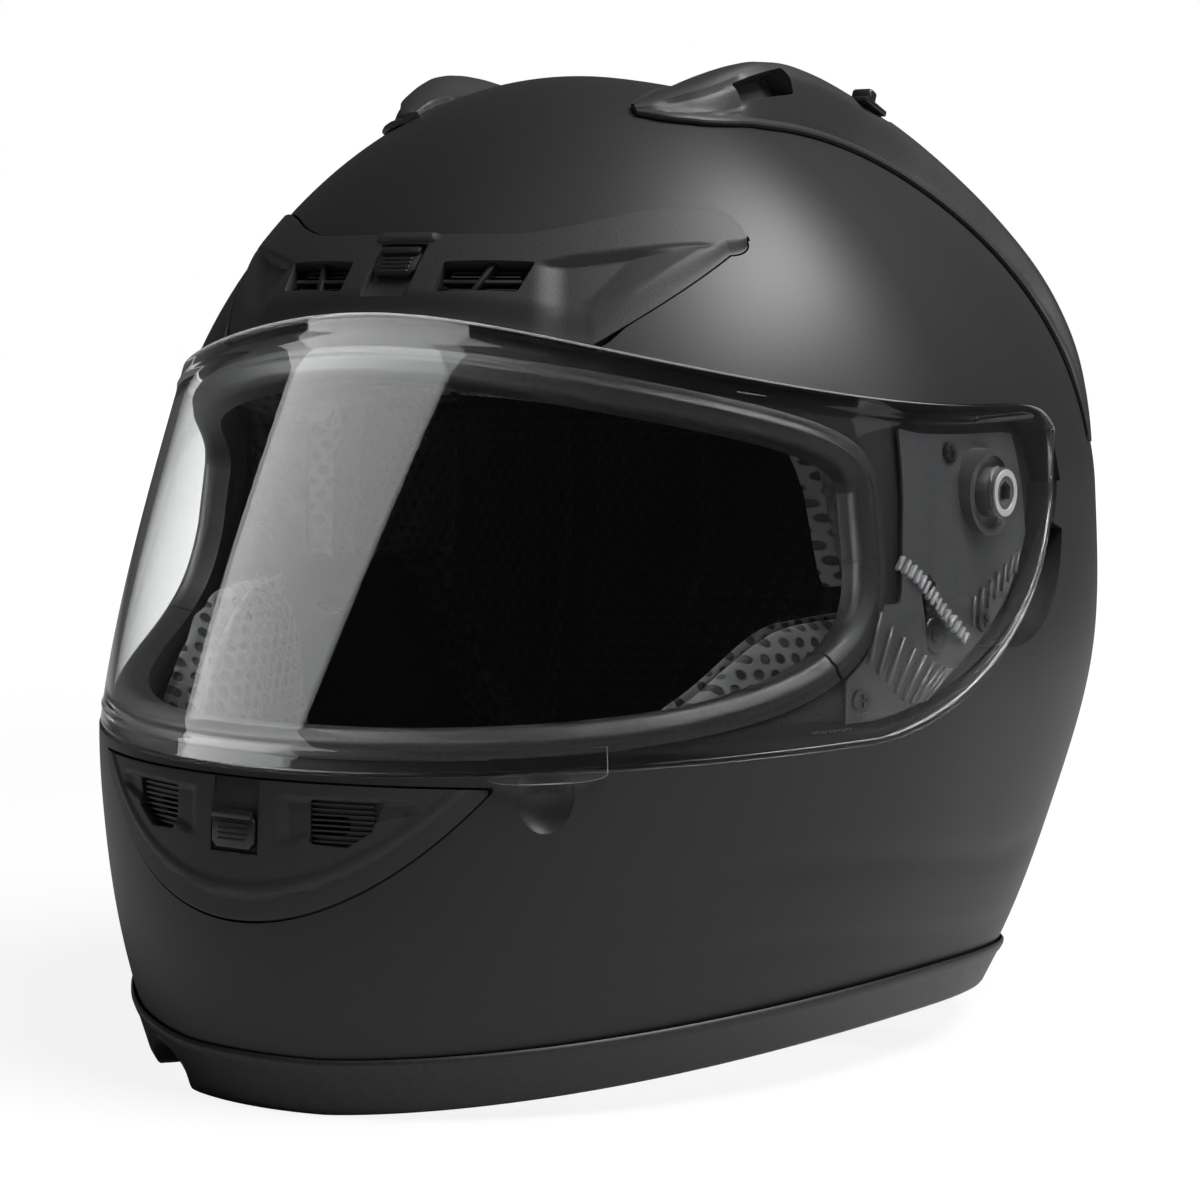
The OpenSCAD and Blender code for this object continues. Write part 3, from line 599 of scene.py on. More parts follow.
def honeycomb(finish, pitch=0.0037):
    "0 on the strands, 1 in the round holes between them"
    k = 2 * math.pi / pitch
    u, w = finish.dot(0.5, 0.866, 0.0) * k, finish.dot(0.0, 0.0, 1.0) * k
    rows = [w, u * 0.866 + w * 0.5, u * 0.866 - w * 0.5]
    return sum((row + math.pi / 2).sin() for row in rows).smooth(-0.2, 1.3)


holes = honeycomb(mesh_cloth)
yarn = mesh_cloth.noise(3500, 2.0)
mesh_cloth.tint(holes, (0.075, 0.075, 0.078), (0.003, 0.003, 0.003))
mesh_cloth.feed("Roughness", 0.7 + yarn * 0.2)
mesh_cloth.bump((1 - holes) + yarn * 0.15, 0.0012, 1.0)

# The liner is open mesh low at the sides and knit above; deep inside, towards the back, its colour is painted
# near-black as painted shade
ribbed = Finish("ribbed_knit", (0.02, 0.02, 0.021), 0.85, Sheen_Weight=0.08, Sheen_Roughness=0.5,
                Specular_IOR_Level=0.25)
across = ribbed.dot(0.9, 0.44, 0.0)
rise = ribbed.dot(0.0, 0.3, 0.95)
FINE = 2 * math.pi / 0.0026
knit = ((across * FINE).sin() * (rise * FINE).sin()).smooth(-0.5, 0.8)
open_mesh = honeycomb(ribbed)
low_down = 1 - ribbed.dot(0.0, 0.0, 1.0).smooth(0.168, 0.176)
deep = ribbed.dot(0.0, 1.0, 0.0).smooth(-0.03, 0.05)
knitted = ribbed.blend(knit, (0.003, 0.003, 0.003), (0.030, 0.030, 0.031))
meshed = ribbed.blend(open_mesh, (0.055, 0.055, 0.057), (0.003, 0.003, 0.003))
ribbed.tint(deep, ribbed.blend(low_down, knitted, meshed), (0.004, 0.004, 0.004))
ribbed.feed("Roughness", 0.75 + ribbed.noise(2500) * 0.2)
ribbed.bump(knit * (1 - low_down) + (1 - open_mesh) * low_down, 0.0005, 0.7)

webbing = Finish("woven_webbing", (0.015, 0.015, 0.0155), 0.7, Sheen_Weight=0.2)
warp = (webbing.dot(0.0, 1.0, 0.0) * (2 * math.pi / 0.0018)).sin()
weft = (webbing.dot(1.0, 0.35, 0.0) * (2 * math.pi / 0.0014)).sin()
twill = warp * weft
webbing.tint(twill.smooth(-0.6, 0.7), (0.006, 0.006, 0.0062), (0.028, 0.028, 0.029))
webbing.feed("Roughness", 0.6 + webbing.noise(1800) * 0.25)
webbing.bump(twill, 0.0003, 0.8)
print("finishes:", len(bpy.data.materials))


def dress(ob, finish, body, slot, *nodes):
    "Give a piece its finish, the body it rides on and the solids it stands for"
    ob.data.materials.clear()
    ob.data.materials.append(finish.m)
    if nodes:
        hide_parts(*nodes)
    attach(ob, body)
    print(ob.name, len(ob.data.polygons), "faces")
    return ob


# %% [markdown]
# ## Camera, floor and light
# The helmet is shown on a plain pale floor. A tall strip light stands to its right-hand side so that the
# visor carries one clean band of light, and three soft boxes shape the crown, the brow and the back.

# %% Camera
cam_data = bpy.data.cameras.new("camera")
cam_data.sensor_width, cam_data.lens = 36, 101.41
cam_data.clip_start, cam_data.clip_end = 0.05, 50
cam = add_object("camera", cam_data)
right = Vector((0.81578874, 0.5783021, 0.0074441))
up = Vector((-0.05321778, 0.06224319, 0.99664119))
ahead = Vector((-0.57589635, 0.81344481, -0.08155325))
turned = Matrix((right, up, -ahead)).transposed().to_4x4()
cam.matrix_world = Matrix.Translation((0.54797, -0.78030, 0.19453)) @ turned
bpy.context.scene.camera = cam
bpy.context.scene.view_settings.view_transform = "Standard"

# %% Floor and surroundings
floor = mesh_object("floor", [(-6000, -6000, 0), (6000, -6000, 0), (6000, 6000, 0), (-6000, 6000, 0)],
                    [[0, 1, 2, 3]], 0)
floor_look = Finish("pale_floor", (0.5, 0.5, 0.5), 0.9)
t = floor_look.t
glow = t.nodes.new("ShaderNodeEmission")
glow.inputs["Strength"].default_value = 1.1
mixer = t.nodes.new("ShaderNodeMixShader")
past_clear = floor_look.light("Is Transmission Ray") * floor_look.unscattered()
seen = (floor_look.light("Is Camera Ray") + past_clear).clip()
away = floor_look.add("ShaderNodeVectorMath", {"operation": "LENGTH"}, {0: floor_look.place}, 1)
share = seen * (0.8 + away.smooth(0.5, 1.6) * 0.2)
for source, target in ((share.out, mixer.inputs[0]), (floor_look.b.outputs[0], mixer.inputs[1]),
                       (glow.outputs[0], mixer.inputs[2]),
                       (mixer.outputs[0], t.nodes["Material Output"].inputs[0])):
    t.links.new(source, target)
floor.data.materials.append(floor_look.m)

# White where the camera looks, past clear plastic too, and a dim studio for light that has been scattered
DIM, MIRRORED = 0.045, 0.03
world = bpy.data.worlds.new("world")
bpy.context.scene.world = world
world.use_nodes = True
sky = Nodes(world.node_tree)
past_clear = sky.light("Is Transmission Ray") * sky.unscattered()
white = sky.light("Is Camera Ray").most(past_clear).most(sky.light("Is Glossy Ray") * MIRRORED)
back = world.node_tree.nodes["Background"]
sky.t.links.new((white * (1 - DIM) + DIM).out, back.inputs["Strength"])
back.inputs["Color"].default_value = (1, 1, 1, 1)


def area(name, where, target, size, power):
    lamp = bpy.data.lights.new(name, "AREA")
    lamp.shape, lamp.size, lamp.size_y, lamp.energy = "RECTANGLE", size[0], size[1], power
    ob = add_object(name, lamp)
    ob.location = where
    ob.visible_camera = False
    ob.rotation_euler = (Vector(target) - Vector(where)).to_track_quat("-Z", "Y").to_euler()
    return ob


area("key", (-0.3, -1.0, 2.2), (0, 0, 0.15), (1.0, 0.8), 2)
area("top", (1.1, 0.15, 2.05), (0.05, -0.05, 0.2), (1.4, 1.1), 84)
area("side", (1.9, 0.7, 1.3), (0, 0, 0.12), (0.7, 1.2), 6)
strip = area("strip", (-0.625, -0.665, 0.62), (0, -0.1, 0.2), (0.68, 1.7), 32)

# %% [markdown]
# ## The shell
# The real shell is one injection-moulded wall, thickened into a frame round the eye port and cut for
# the visor, the vent covers and the air holes. It is made the same way here: a fine dome, a frame
# joined to it, and cutters that follow the outlines above. The Manifold solver keeps it closed.

# %% Shell blank and cutters
SWEEP_R, BROW_FLOOR, CHIN_FLOOR = 40.6, -3.2, -2.3


def frame_top(a):
    b, last = np.abs(a), BROW_A - 2
    k = ramp(b, last, last + 40)
    return 4 + brow_top(np.minimum(b, last)) * (1 - k) + visor_top(b) * k


def jaw(a, v):
    "The chin bar and cheeks carry a soft crease that runs back from under the visor"
    z = TALL * np.where(v > WIDEST, 1, v)
    b = np.where(a > 180, 360 - a, a)
    line = 60.4 - 8.4 * ramp(b, 60, 112)
    upper = -1.5 * np.exp(-((z - line) / 4.2) ** 2)
    lower = -0.9 * np.exp(-((z - line + 21) / 3.6) ** 2)
    return (upper + lower) * ramp(b, 34, 60) * (1 - ramp(b, 104, 122))


shell = dome("shell", 300, 120, 40, lambda a: rim(a) + 3, jaw, -SHELL_T)
brace = skin("brace", crowded(VISOR_A + 3, 110), 30,
             lambda a: visor_low(a) - 4 - 16 * ramp(np.abs(a), 97, 105),
             frame_top, -1.5, FRAME_IN)
carve(shell, [brace], "UNION")
pocket = skin("pocket", crowded(VISOR_A + 1.3, 150), 36, lambda a: visor_low(a) - 1.2,
              lambda a: visor_top(a) + 1, 6, lambda a, t: recess_floor(a))
port = skin("port", crowded(PORT_A * 0.999, 150), 12, port_low, port_top, 6, -20)
brow_pocket = skin("brow_pocket", crowded(BROW_A + 0.4, 120), 10,
                   lambda a: brow_low(a) - 2 + 1.4 * ramp(np.abs(a), 38, 42), lambda a: brow_top(a) + 0.6,
                   8, BROW_FLOOR)
chin_pocket = skin("chin_pocket", crowded(CHIN_A + 0.5, 60), 10, lambda a: chin_low(a) - 0.7,
                   CHIN_TOP + 0.6, 8, CHIN_FLOOR)
cutters = [pocket, port]
for s in (-1, 1):
    # Room for the visor's rear edge, behind and below the pivot: local X is down, local Y is back
    middle = Matrix.Translation(Vector((s * (BROAD / 2 - 10.8), PIVOT[1], PIVOT[2])))
    arc = np.radians(np.linspace(-6, 74, 40))
    sector = [(0.0, 0.0)] + [(s * SWEEP_R * math.cos(q), SWEEP_R * math.sin(q)) for q in arc]
    cutters.append(prism("sweep", middle @ Matrix.Rotation(s * math.pi / 2, 4, "Y"), sector[::s], 0, 30))
cutters += [prism("scallop", seat(-14, 0.5), circle(14, 64), -12, 12), brow_pocket, chin_pocket]
for s in (-1, 1):
    for a, z, wide, tall in ((18 * s, 206.5, 22, 5), (9.5 * s, 73, 14, 5), (96 * s, 251, 10, 6),
                             (180 + 9 * s, 178, 16, 6)):
        cutters.append(prism("slot", seat(a, z), stadium(wide, tall), -14, 16))
carve(shell, cutters)

# %% Thumb recess under the visor's tab
bpy.ops.mesh.primitive_uv_sphere_add(segments=48, ring_count=24, radius=1)
thumb = bpy.context.active_object
thumb.data.transform(Matrix.Scale(0.001, 4) @ seat(31, 81.5, 1.2) @ Matrix.Diagonal((7.5, 10, 4.2, 1)))
carve(shell, [thumb], smooth=32)
# How far the shell sinks round the visor; the paint turns this into painted shade
place = np.array([v.co for v in shell.data.vertices]) * 1000
a, v = foot(place)
depth = np.sum((place - form(a, v)) * normal(a, v), -1)
beside = (np.abs(a) < 117) * (place[:, 2] > visor_low(a) - 6) * (place[:, 2] < visor_top(a) + 4)
recess_shade = ramp(-depth, 1.2, 3) * beside
shell.data.attributes.new("recess_shade", "FLOAT", "POINT").data.foreach_set("value", recess_shade.astype(float))
dress(shell, paint, "helmet", "shell_black", "outer_shell")

# %% [markdown]
# ## Rubber trim and gaskets
# A trim profile is pushed over the shell's lower edge all the way round, with a proud lip above and a
# finger scallop on one side. The eye port has a soft channel in two lengths whose ends meet at the
# lower corners. Both are one cross-section carried along an edge, so both use the rail builder.

# %% Bottom trim
trim_a = np.concatenate([np.linspace(-26, -2, 97), np.linspace(-1.5, 333.5, 380)])


def trim_section(i):
    a = trim_a[i]
    d = float(np.linalg.norm(form(a, 0.03) - form(-14, 0.03)))
    cut = math.sqrt(144 - d * d) if d < 12 else 0.0
    low, n, h = cut * (TRIM_H - 5.6) / 12, normal(a, at(rim(a)))[2], TRIM_H
    k, web = -n / math.sqrt(1 - n * n), 2.4 + max(0, low - 0.4)
    return [[low + 1.2 * k + 0.5, 1.2], [low + 1.2 * k + 1.6, 1.45], [h - 3.4, 1.2], [h - 2.8, 1.5],
            [h - 1.2, 1.55], [h - 0.3, 1.2], [h, 0.5], [web, 0.5], [web, -SHELL_T - 0.9],
            [h - 3, -SHELL_T - 0.9], [h - 3.4, -SHELL_T - 2.9],
            [low - (SHELL_T + 2.9) * k + 0.6, -SHELL_T - 2.9],
            [low - (SHELL_T + 2.4) * k, -SHELL_T - 2.4], [low + 0.7 * k, 0.7]]


trim = rail("trim", trim_a, rim(trim_a), trim_section, True, 50)
dress(trim, rubber, "helmet", "rubber_black", "bottom_trim")

# %% Eye port gaskets
def gasket(name, start, end):
    p = np.radians(np.linspace(start, end, int((end - start) * 1.4)))
    a = -PORT_A * np.cos(p) * 0.999
    z = np.where(np.sin(p) < 0, port_top(a), port_low(a))
    R, F = RECESS, FRAME_IN
    section = [[-2.2, R + 0.6], [-2.2, R + 1.5], [-1.5, R + 1.9], [-0.4, R + 1.6], [0.4, R + 1.7],
               [1.2, R + 2.3], [2.2, R + 2.3], [3.0, R + 1.5], [4.4, R + 1.2], [5.2, R + 0.3],
               [5.9, R - 1.2], [5.4, R - 3], [5.0, F - 1], [3.0, F - 2.2], [0.8, F - 2.8],
               [-2.2, F - 2.8], [-2.2, F - 1.3], [0.8, F - 1.3], [0.8, R + 0.6]]
    return rail(name, a, z, lambda i: section, False, 50)


dress(gasket("port_gasket_low", 27, 153), rubber, "helmet", "rubber_black", "gasket_lower")
dress(gasket("port_gasket_top", 153.6, 386.4), rubber, "helmet", "rubber_black", "gasket_upper")

# %% [markdown]
# ## The visor
# The visor is a curved sheet of even wall with a rounded edge, a fine raised bead that runs parallel to
# the edge, a step where it thins behind the port, and a lift tab low on the wearer's left.

# %% Visor sheet, tab and bores
beads_t = [0, 0.006, 0.03, 0.038, 0.046, 0.054, 0.062] + np.linspace(0.1, 0.9, 26).tolist()
beads_t += [1 - t for t in (0.062, 0.054, 0.046, 0.038, 0.03, 0.006, 0)]


def visor_outer(a, t):
    edge = np.minimum(t, 1 - t)
    bead = 0.35 * (ramp(edge, 0.036, 0.044) - ramp(edge, 0.05, 0.058)) * (np.abs(a) < 108)
    return visor_off(t) + bead - 0.3 * ramp(np.abs(a), 83.5, 84.3)


def even_arcs(a, t):
    "Every upright line of the sheet is one even arc through three points of the form"
    v0, v1 = at(visor_low(a)), at(visor_top(a))
    k, knots, total = t[..., None], (0.0, 0.36, 1.0), 0
    for i, ki in enumerate(knots):
        weight = math.prod((k - kj) / (ki - kj) for kj in knots if kj != ki)
        total = total + on(a, v0 * (1 - ki) + v1 * ki, visor_off(ki + 0 * a)) * weight
    return total


a = crowded(VISOR_A, 220)[:, None]
t = np.array(beads_t)[None, :]
face = even_arcs(a, t)
way_a, way_t = np.gradient(face, axis=0), np.gradient(face, axis=1)
out = unit(np.cross(way_a, way_t))
raised = visor_outer(a + 0 * t, t + 0 * a) - visor_off(t)
visor = closed_sheet("visor_sheet", face + out * raised[..., None], face - out * VISOR_T)
tab = skin("tab", np.linspace(25.5, 37, 24), 6,
           lambda a: visor_low(a) - 3.2 * rounded((a - 31.2) / 6, 3.2), lambda a: visor_low(a) + 5,
           lambda a, t: 0.3 + 1.9 * (1 - ramp(t, 0.25, 0.95)) * rounded((a - 31.2) / 6, 4), -1.7)
carve(visor, [tab], "UNION")
carve(visor, [prism("bore", SIDE_TURN, circle(7, 64), low, low + 140) for low in (-200, 60)])
soften(visor, 0.5, 3, 50)
count = len(visor.data.polygons)
place, facing = np.empty(count * 3), np.empty(count * 3)
visor.data.polygons.foreach_get("center", place)
visor.data.polygons.foreach_get("normal", facing)
upright = np.sum(normal(*foot(place.reshape(-1, 3) * 1000)) * facing.reshape(-1, 3), -1)
cut = (np.abs(upright) < 0.75).astype(float)
visor.data.attributes.new("cut_edge", "FLOAT", "FACE").data.foreach_set("value", cut)
dress(visor, clear, "visor", "visor_clear", "visor")
# Only the clear sheet receives the strip light, so the paint round it stays calm
band_only = bpy.data.collections.new("band_only")
band_only.objects.link(visor)
strip.light_linking.receiver_collection = band_only

# %% [markdown]
# ## Pieces that repeat
# Grille bars, ratchet teeth, stitches and mesh strands all follow a path. One Geometry Nodes tree makes
# them: it sets a small block on every point it is given, turned by two directions stored on the points.
# Its size is a named input, and the result is made into a plain mesh.

# %% Tree that sets blocks on points
def block_tree(finish):
    tree = bpy.data.node_groups.new("blocks_on_points", "GeometryNodeTree")
    tree.interface.new_socket("Geometry", in_out="INPUT", socket_type="NodeSocketGeometry")
    tree.interface.new_socket("Block size", in_out="INPUT", socket_type="NodeSocketVector")
    tree.interface.new_socket("Uneven", in_out="INPUT", socket_type="NodeSocketFloat")
    tree.interface.new_socket("Geometry", in_out="OUTPUT", socket_type="NodeSocketGeometry")
    new, link = tree.nodes.new, tree.links.new
    given, result = new("NodeGroupInput"), new("NodeGroupOutput")
    cube, place = new("GeometryNodeMeshCube"), new("GeometryNodeInstanceOnPoints")
    link(given.outputs["Block size"], cube.inputs["Size"])
    link(given.outputs["Geometry"], place.inputs["Points"])
    link(cube.outputs["Mesh"], place.inputs["Instance"])
    turned = None
    for attribute, axis in (("out", "Z"), ("along", "X")):
        read, face = new("GeometryNodeInputNamedAttribute"), new("FunctionNodeAlignRotationToVector")
        read.data_type, read.inputs["Name"].default_value = "FLOAT_VECTOR", attribute
        face.axis, face.pivot_axis = axis, "AUTO" if axis == "Z" else "Z"
        link(read.outputs[0], face.inputs["Vector"])
        if turned:
            link(turned, face.inputs["Rotation"])
        turned = face.outputs[0]
    link(turned, place.inputs["Rotation"])
    dice, low, high = new("FunctionNodeRandomValue"), new("ShaderNodeMath"), new("ShaderNodeMath")
    dice.data_type = "FLOAT"
    dice.inputs["Seed"].default_value = 7
    low.operation, high.operation = "SUBTRACT", "ADD"
    for node, socket in ((low, "Min"), (high, "Max")):
        node.inputs[0].default_value = 1
        link(given.outputs["Uneven"], node.inputs[1])
        link(node.outputs[0], [s for s in dice.inputs if s.name == socket and s.type == "VALUE"][0])
    link([s for s in dice.outputs if s.type == "VALUE"][0], place.inputs["Scale"])
    real, coat = new("GeometryNodeRealizeInstances"), new("GeometryNodeSetMaterial")
    link(place.outputs[0], real.inputs[0])
    coat.inputs["Material"].default_value = finish.m
    link(real.outputs[0], coat.inputs["Geometry"])
    link(coat.outputs[0], result.inputs["Geometry"])
    return tree


def blocks(name, finish, points, out, along, size, uneven=0.03, edge=0.0):
    "Blocks of one size (x along, y across, z out, in mm) at the given points"
    ob = mesh_object(name, points, [], 0)
    for key, value in (("out", out), ("along", along)):
        values = np.broadcast_to(np.asarray(value, float), (len(points), 3))
        ob.data.attributes.new(key, "FLOAT_VECTOR", "POINT").data.foreach_set("vector", values.ravel())
    tree = block_tree(finish)
    mod = ob.modifiers.new("blocks", "NODES")
    mod.node_group = tree
    ids = {s.name: s.identifier for s in tree.interface.items_tree if s.in_out == "INPUT"}
    mod[ids["Block size"]] = [x / 1000 for x in size]
    mod[ids["Uneven"]] = uneven
    settle(ob, 0)
    if edge:
        soften(ob, edge, 1, 40)
    return ob


def frames(a, z, off):
    "Points on the form with their outward and sideways directions"
    a, z = np.asarray(a, float), np.asarray(z, float)
    p, n = on(a, at(z), off), normal(a, at(z))
    side = unit(np.cross([0, 0, 1], n))
    return p, n, side, np.cross(n, side)


print("block tree ready")

# %% [markdown]
# ## Brow vent cover
# The cover is a thin moulding that lies flush in a pocket of the shell. Its lower edge follows the visor,
# two windows let air in, and a hollow sweeps from each window to the pointed end. The hollow is part of
# the skin's outer offset: deepest just under the upper ridge, fading towards the lower one.

# %% Brow cover skin
def brow_outer(a, t):
    b = np.abs(a)
    z = brow_low(b) * (1 - t) + brow_top(b) * t
    base = -0.4 + 1.4 * ramp(t, 0, 0.3)
    upper = 209.5 + 4.3 * ramp(b, 27, 57)
    lower = np.interp(b, [26, 35.6, 43, 50, 55.9, 62], [186, 190.6, 201, 208.5, 213.7, 216])
    under, over = upper - z, z - lower
    hollow = ramp(under, 0, 1.6) * np.clip(over / 9, 0, 1) * ramp(b, 27, 33)
    strip = 0.9 * ramp(z, 214.4, 214.9) * (1 - ramp(z, 216.8, 217.3)) * (1 - ramp(b, 6.4, 7.2))
    groove = -0.5 * np.exp(-((under - 0.2) / 0.5) ** 2) * ramp(b, 30, 34) * (1 - ramp(b, 55, 58))
    return base - 2.1 * hollow + strip + groove


brow = skin("brow_cover", crowded(BROW_A - 0.3, 260), 60, brow_low, brow_top, brow_outer,
            BROW_FLOOR + 0.4, 28)

def window_pair(a, z, corners, deep, edge, angle):
    "Cutters for a window on each side of the middle"
    left = prism("window", seat(a, z), corners, -deep, deep)
    right = prism("window", seat(-a, z), [(-x, y) for x, y in corners][::-1], -deep, deep)
    return [soften(cutter, edge, 3, angle) for cutter in (right, left)]


windows = window_pair(18, 205.8, [(-12.5, -4.6), (11.5, -4.6), (14, 4.8), (-11.5, 4.8)], 8, 0.9, 60)
windows.append(box_at("bed", seat(0, 207.5, -1.2), (-7.6, -8.2, 0), (7.6, 8.2, 8)))
carve(brow, windows, smooth=0)
soften(brow, 0.6, 3, 50, 28)
dress(brow, moulded, "helmet", "vent_black", "brow_vent_cover")

# %% Brow vanes and slider
vanes = []
for s in (-1, 1):
    m = seat(18 * s, 205.8, -1.6)
    lean = Matrix.Rotation(math.radians(-24 * s), 4, "Z")
    vanes.append(soft_box(m @ lean, (-0.8, -6, -1.2), (0.8, 6, 1.2), 0.3, 2, 35))
    vanes.append(soft_box(m, (-11, -1.0, -1.2), (11, 0.2, 0.6), 0.25, 2, 35))
vane = join("brow_vanes", vanes)
dress(vane, slick, "helmet", "slider_black", "brow_vent_cover")


def slider(name, matrix, half, low, high, grip_y, finish, body, node):
    "Sliding cap: rounded plate with a ribbed thumb ledge"
    plate = [(half - 1.5, low), (half, low + 1.5), (half, high - 2.5), (half - 3, high), (3 - half, high),
             (-half, high - 2.5), (-half, low + 1.5), (1.5 - half, low)]
    parts = [soften(prism("plate", matrix, plate, 0, 1.6), 0.45, 2, 30),
             soft_box(matrix, (-half + 0.4, grip_y, 1.2), (half - 0.4, grip_y + 2.0, 2.5), 0.4)]
    for k in range(4):
        y = grip_y - 1.6 - 1.3 * k
        parts.append(soft_box(matrix, (-half + 2, y, 1.3), (half - 2, y + 0.55, 1.95), 0.15, 1))
    ob = join(name, parts)
    shade(ob.data, 35)
    return dress(ob, finish, body, "slider_black", node)


slider("brow_slider_cap", seat(0, 207.5, -0.9), 6.8, -1.5, 7.5, 4.8, slick, "brow_slider", "brow_vent_slider")

# %% [markdown]
# ## Chin vent cover
# A shield-shaped moulding sits under the visor with two angled windows and a slider between them. A raised
# ridge frames the windows, so the skin's outer offset gets one more rounded step.

# %% Chin cover
def chin_outer(a, t):
    b = np.abs(a)
    z = chin_low(b) * (1 - t) + CHIN_TOP * t
    inside = z - (chin_low(b) + 7)
    step = 0.75 * (ramp(inside, -1.2, 0) - 0.6 * ramp(inside, 1.2, 3))
    lower = 67.2 + 0.62 * (b - 5)
    hollow = ramp(b, 5.3, 6.0) * (1 - ramp(b, 17.6, 19)) * ramp(z, lower, lower + 1.4)
    hollow = hollow * (1 - ramp(z, 78.6, 80))
    return 0.25 + step - 1.1 * hollow


chin = skin("chin_cover", crowded(CHIN_A, 130), 44, chin_low, CHIN_TOP, chin_outer, CHIN_FLOOR + 0.4, 28)
windows = window_pair(11, 73.5, [(-7, -5.4), (3, -5.8), (9.5, -1.6), (12, 5.6), (-7, 5.6)], 7, 0.8, 50)
windows.append(box_at("bed", seat(0, 72.5, -1), (-7.6, -8, 0), (7.6, 17, 8)))
carve(chin, windows, smooth=0)
soften(chin, 0.5, 2, 50, 28)
dress(chin, moulded, "helmet", "vent_black", "chin_vent_cover")
slider("chin_slider_cap", seat(0, 72.5, -0.7), 6.8, -7, 2.6, 0.4, slick, "chin_slider", "chin_vent_slider")

# %% Gauze behind the vent windows
gauze_p, gauze_n, gauze_s = [], [], []
for s in (-1, 1):
    for a, z, wide, tall, off in ((18 * s, 205.8, 13, 4.6, -2.55), (11 * s, 73.5, 9, 4.6, -1.75)):
        m = np.array(seat(a, z, off))
        for y in np.arange(-tall, tall + 0.1, 1.3):
            gauze_p.append(m[:3, :3] @ [0, y, 0] + m[:3, 3])
            gauze_n.append(m[:3, 2])
            gauze_s.append(m[:3, 0])
gauze = blocks("vent_gauze", slick, gauze_p, gauze_n, gauze_s, (19, 0.45, 0.5), 0.02)
dress(gauze, slick, "helmet", "slider_black", "brow_vent_cover", "chin_vent_cover")

# %% [markdown]
# ## Top scoops
# Each scoop is a long fin that hugs the crown. Its section is an outline of points (share of the half
# width, share of the height) carried along a middle line, and every point is set over the shell along
# the shell's own normal, so the base never gapes. An intake opens on the outer slope near the front.

# %% Setting points over the shell
def onto(p, off, steps=5):
    "The point over the shell, at a given offset, that lies straight above or below p"
    for _ in range(steps):
        a, v = foot(p)
        out = normal(a, v)
        p = p - out * np.sum((p - form(a, v)) * out, -1, keepdims=True)
    a, v = foot(p)
    return form(a, v) + normal(a, v) * np.asarray(off)[..., None]


# Stations along a scoop: x, y, z of its middle line, half width, height
WAY = np.array([[37.5, -45.5, 250.5, 2.5, 1.6], [42, -40, 252, 8, 3], [47, -30, 253, 12, 6.5],
                [49, -15, 254, 12, 13], [49.5, 0, 254, 11.5, 14.5], [50.5, 18, 253, 12, 13.5],
                [52, 34, 250, 12.5, 12], [57, 52, 244, 12.5, 10.5], [64, 68, 233, 12.5, 8.6],
                [71, 82, 219, 12, 7.2], [79, 91, 203, 11, 6.2], [88, 92, 186, 9, 4],
                [96, 88, 172, 6, 1.5], [101, 84, 162, 2, 0.4]])
OUTLINE = np.array([[-1, 0], [-1.02, 0.5], [-0.99, 1.0], [-0.93, 1.3], [-0.84, 1.5]])
PROFILE = np.array([[-0.84, 0.13], [-0.7, 0.34], [-0.55, 0.6], [-0.42, 0.82], [-0.36, 0.885],
                    [-0.2, 0.95], [-0.06, 0.995], [0.04, 1.0], [0.2, 0.95], [0.4, 0.83],
                    [0.6, 0.64], [0.8, 0.38], [0.94, 0.16]])
SCOOP_BASE, SCOOP_OFF = -0.55, 0.7


def easy(t):
    "Station values with their corners eased"
    base = [np.interp(t + d, range(len(WAY)), WAY[:, k]) for d in (-0.3, -0.15, 0, 0.15, 0.3)
            for k in range(5)]
    mild = np.array(base).reshape(5, 5, -1).mean(0)
    exact = np.array([np.interp(t, range(len(WAY)), WAY[:, k]) for k in range(5)])
    hold = np.minimum(1, np.minimum(t, len(WAY) - 1 - t) / 0.4)
    return exact + (mild - exact) * hold


def scoop_body(name, side):
    t = np.concatenate([np.linspace(0, 3.4, 60)[:-1], np.linspace(3.4, len(WAY) - 1, 90)])
    q = easy(t)
    core = onto(q[:3].T, 0 * t)
    side_way = unit(np.cross(normal(*foot(core)), np.gradient(core, axis=0)))
    share = np.concatenate([OUTLINE[:, 0], np.linspace(-0.8, 0.94, 34), [1.0, 1.0],
                            np.linspace(0.8, -0.8, 9)])
    grown = np.interp(share, PROFILE[:, 0], PROFILE[:, 1])
    wide, tall = q[3][:, None], q[4][:, None]
    lip = np.minimum(1.5, 0.55 * tall)
    high = np.maximum(tall * grown[None, :], lip)
    high[:, :5] = lip * np.array([0, 0.4, 0.75, 0.95, 1.0])
    high[:, 39] = lip[:, 0] * 0.6
    high[:, 40:] = high[:, :1] = SCOOP_BASE
    s = np.broadcast_to(share, high.shape)
    hollow = ramp(t[:, None], 0.5, 1.5) * (1 - ramp(t[:, None], 2.5, 2.75))
    hollow = hollow * ramp(s, -0.72, -0.66) * (1 - ramp(s, -0.3, -0.24))
    high = high - np.minimum(1.3 * hollow, 0.4 * high) * (np.arange(len(share)) < 39)
    pts = onto(core[:, None] + side_way[:, None] * (wide * s)[..., None], SCOOP_OFF + high)
    ob = mesh_object(name, pts.reshape(-1, 3), tube_faces(*pts.shape[:2]), 0)
    mouth = prism("mouth", intake, [(-12, 0.4), (-10, -5), (12, -1.8), (9, 5.4)], 0, 20)
    bed = box_at("bed", knob, (-4.5, -9, -1), (4.5, 9, 11))
    carve(ob, [soften(mouth, 0.8, 3, 60), bed], smooth=0)
    if side < 0:
        mirror(ob.data)
    shade(ob.data, 24)
    return ob


def station(t):
    q = np.array([np.interp(t, range(len(WAY)), WAY[:, k]) for k in range(5)])
    p = onto(q[None, :3], np.zeros(1))[0]
    return q, p, normal(*foot(p))


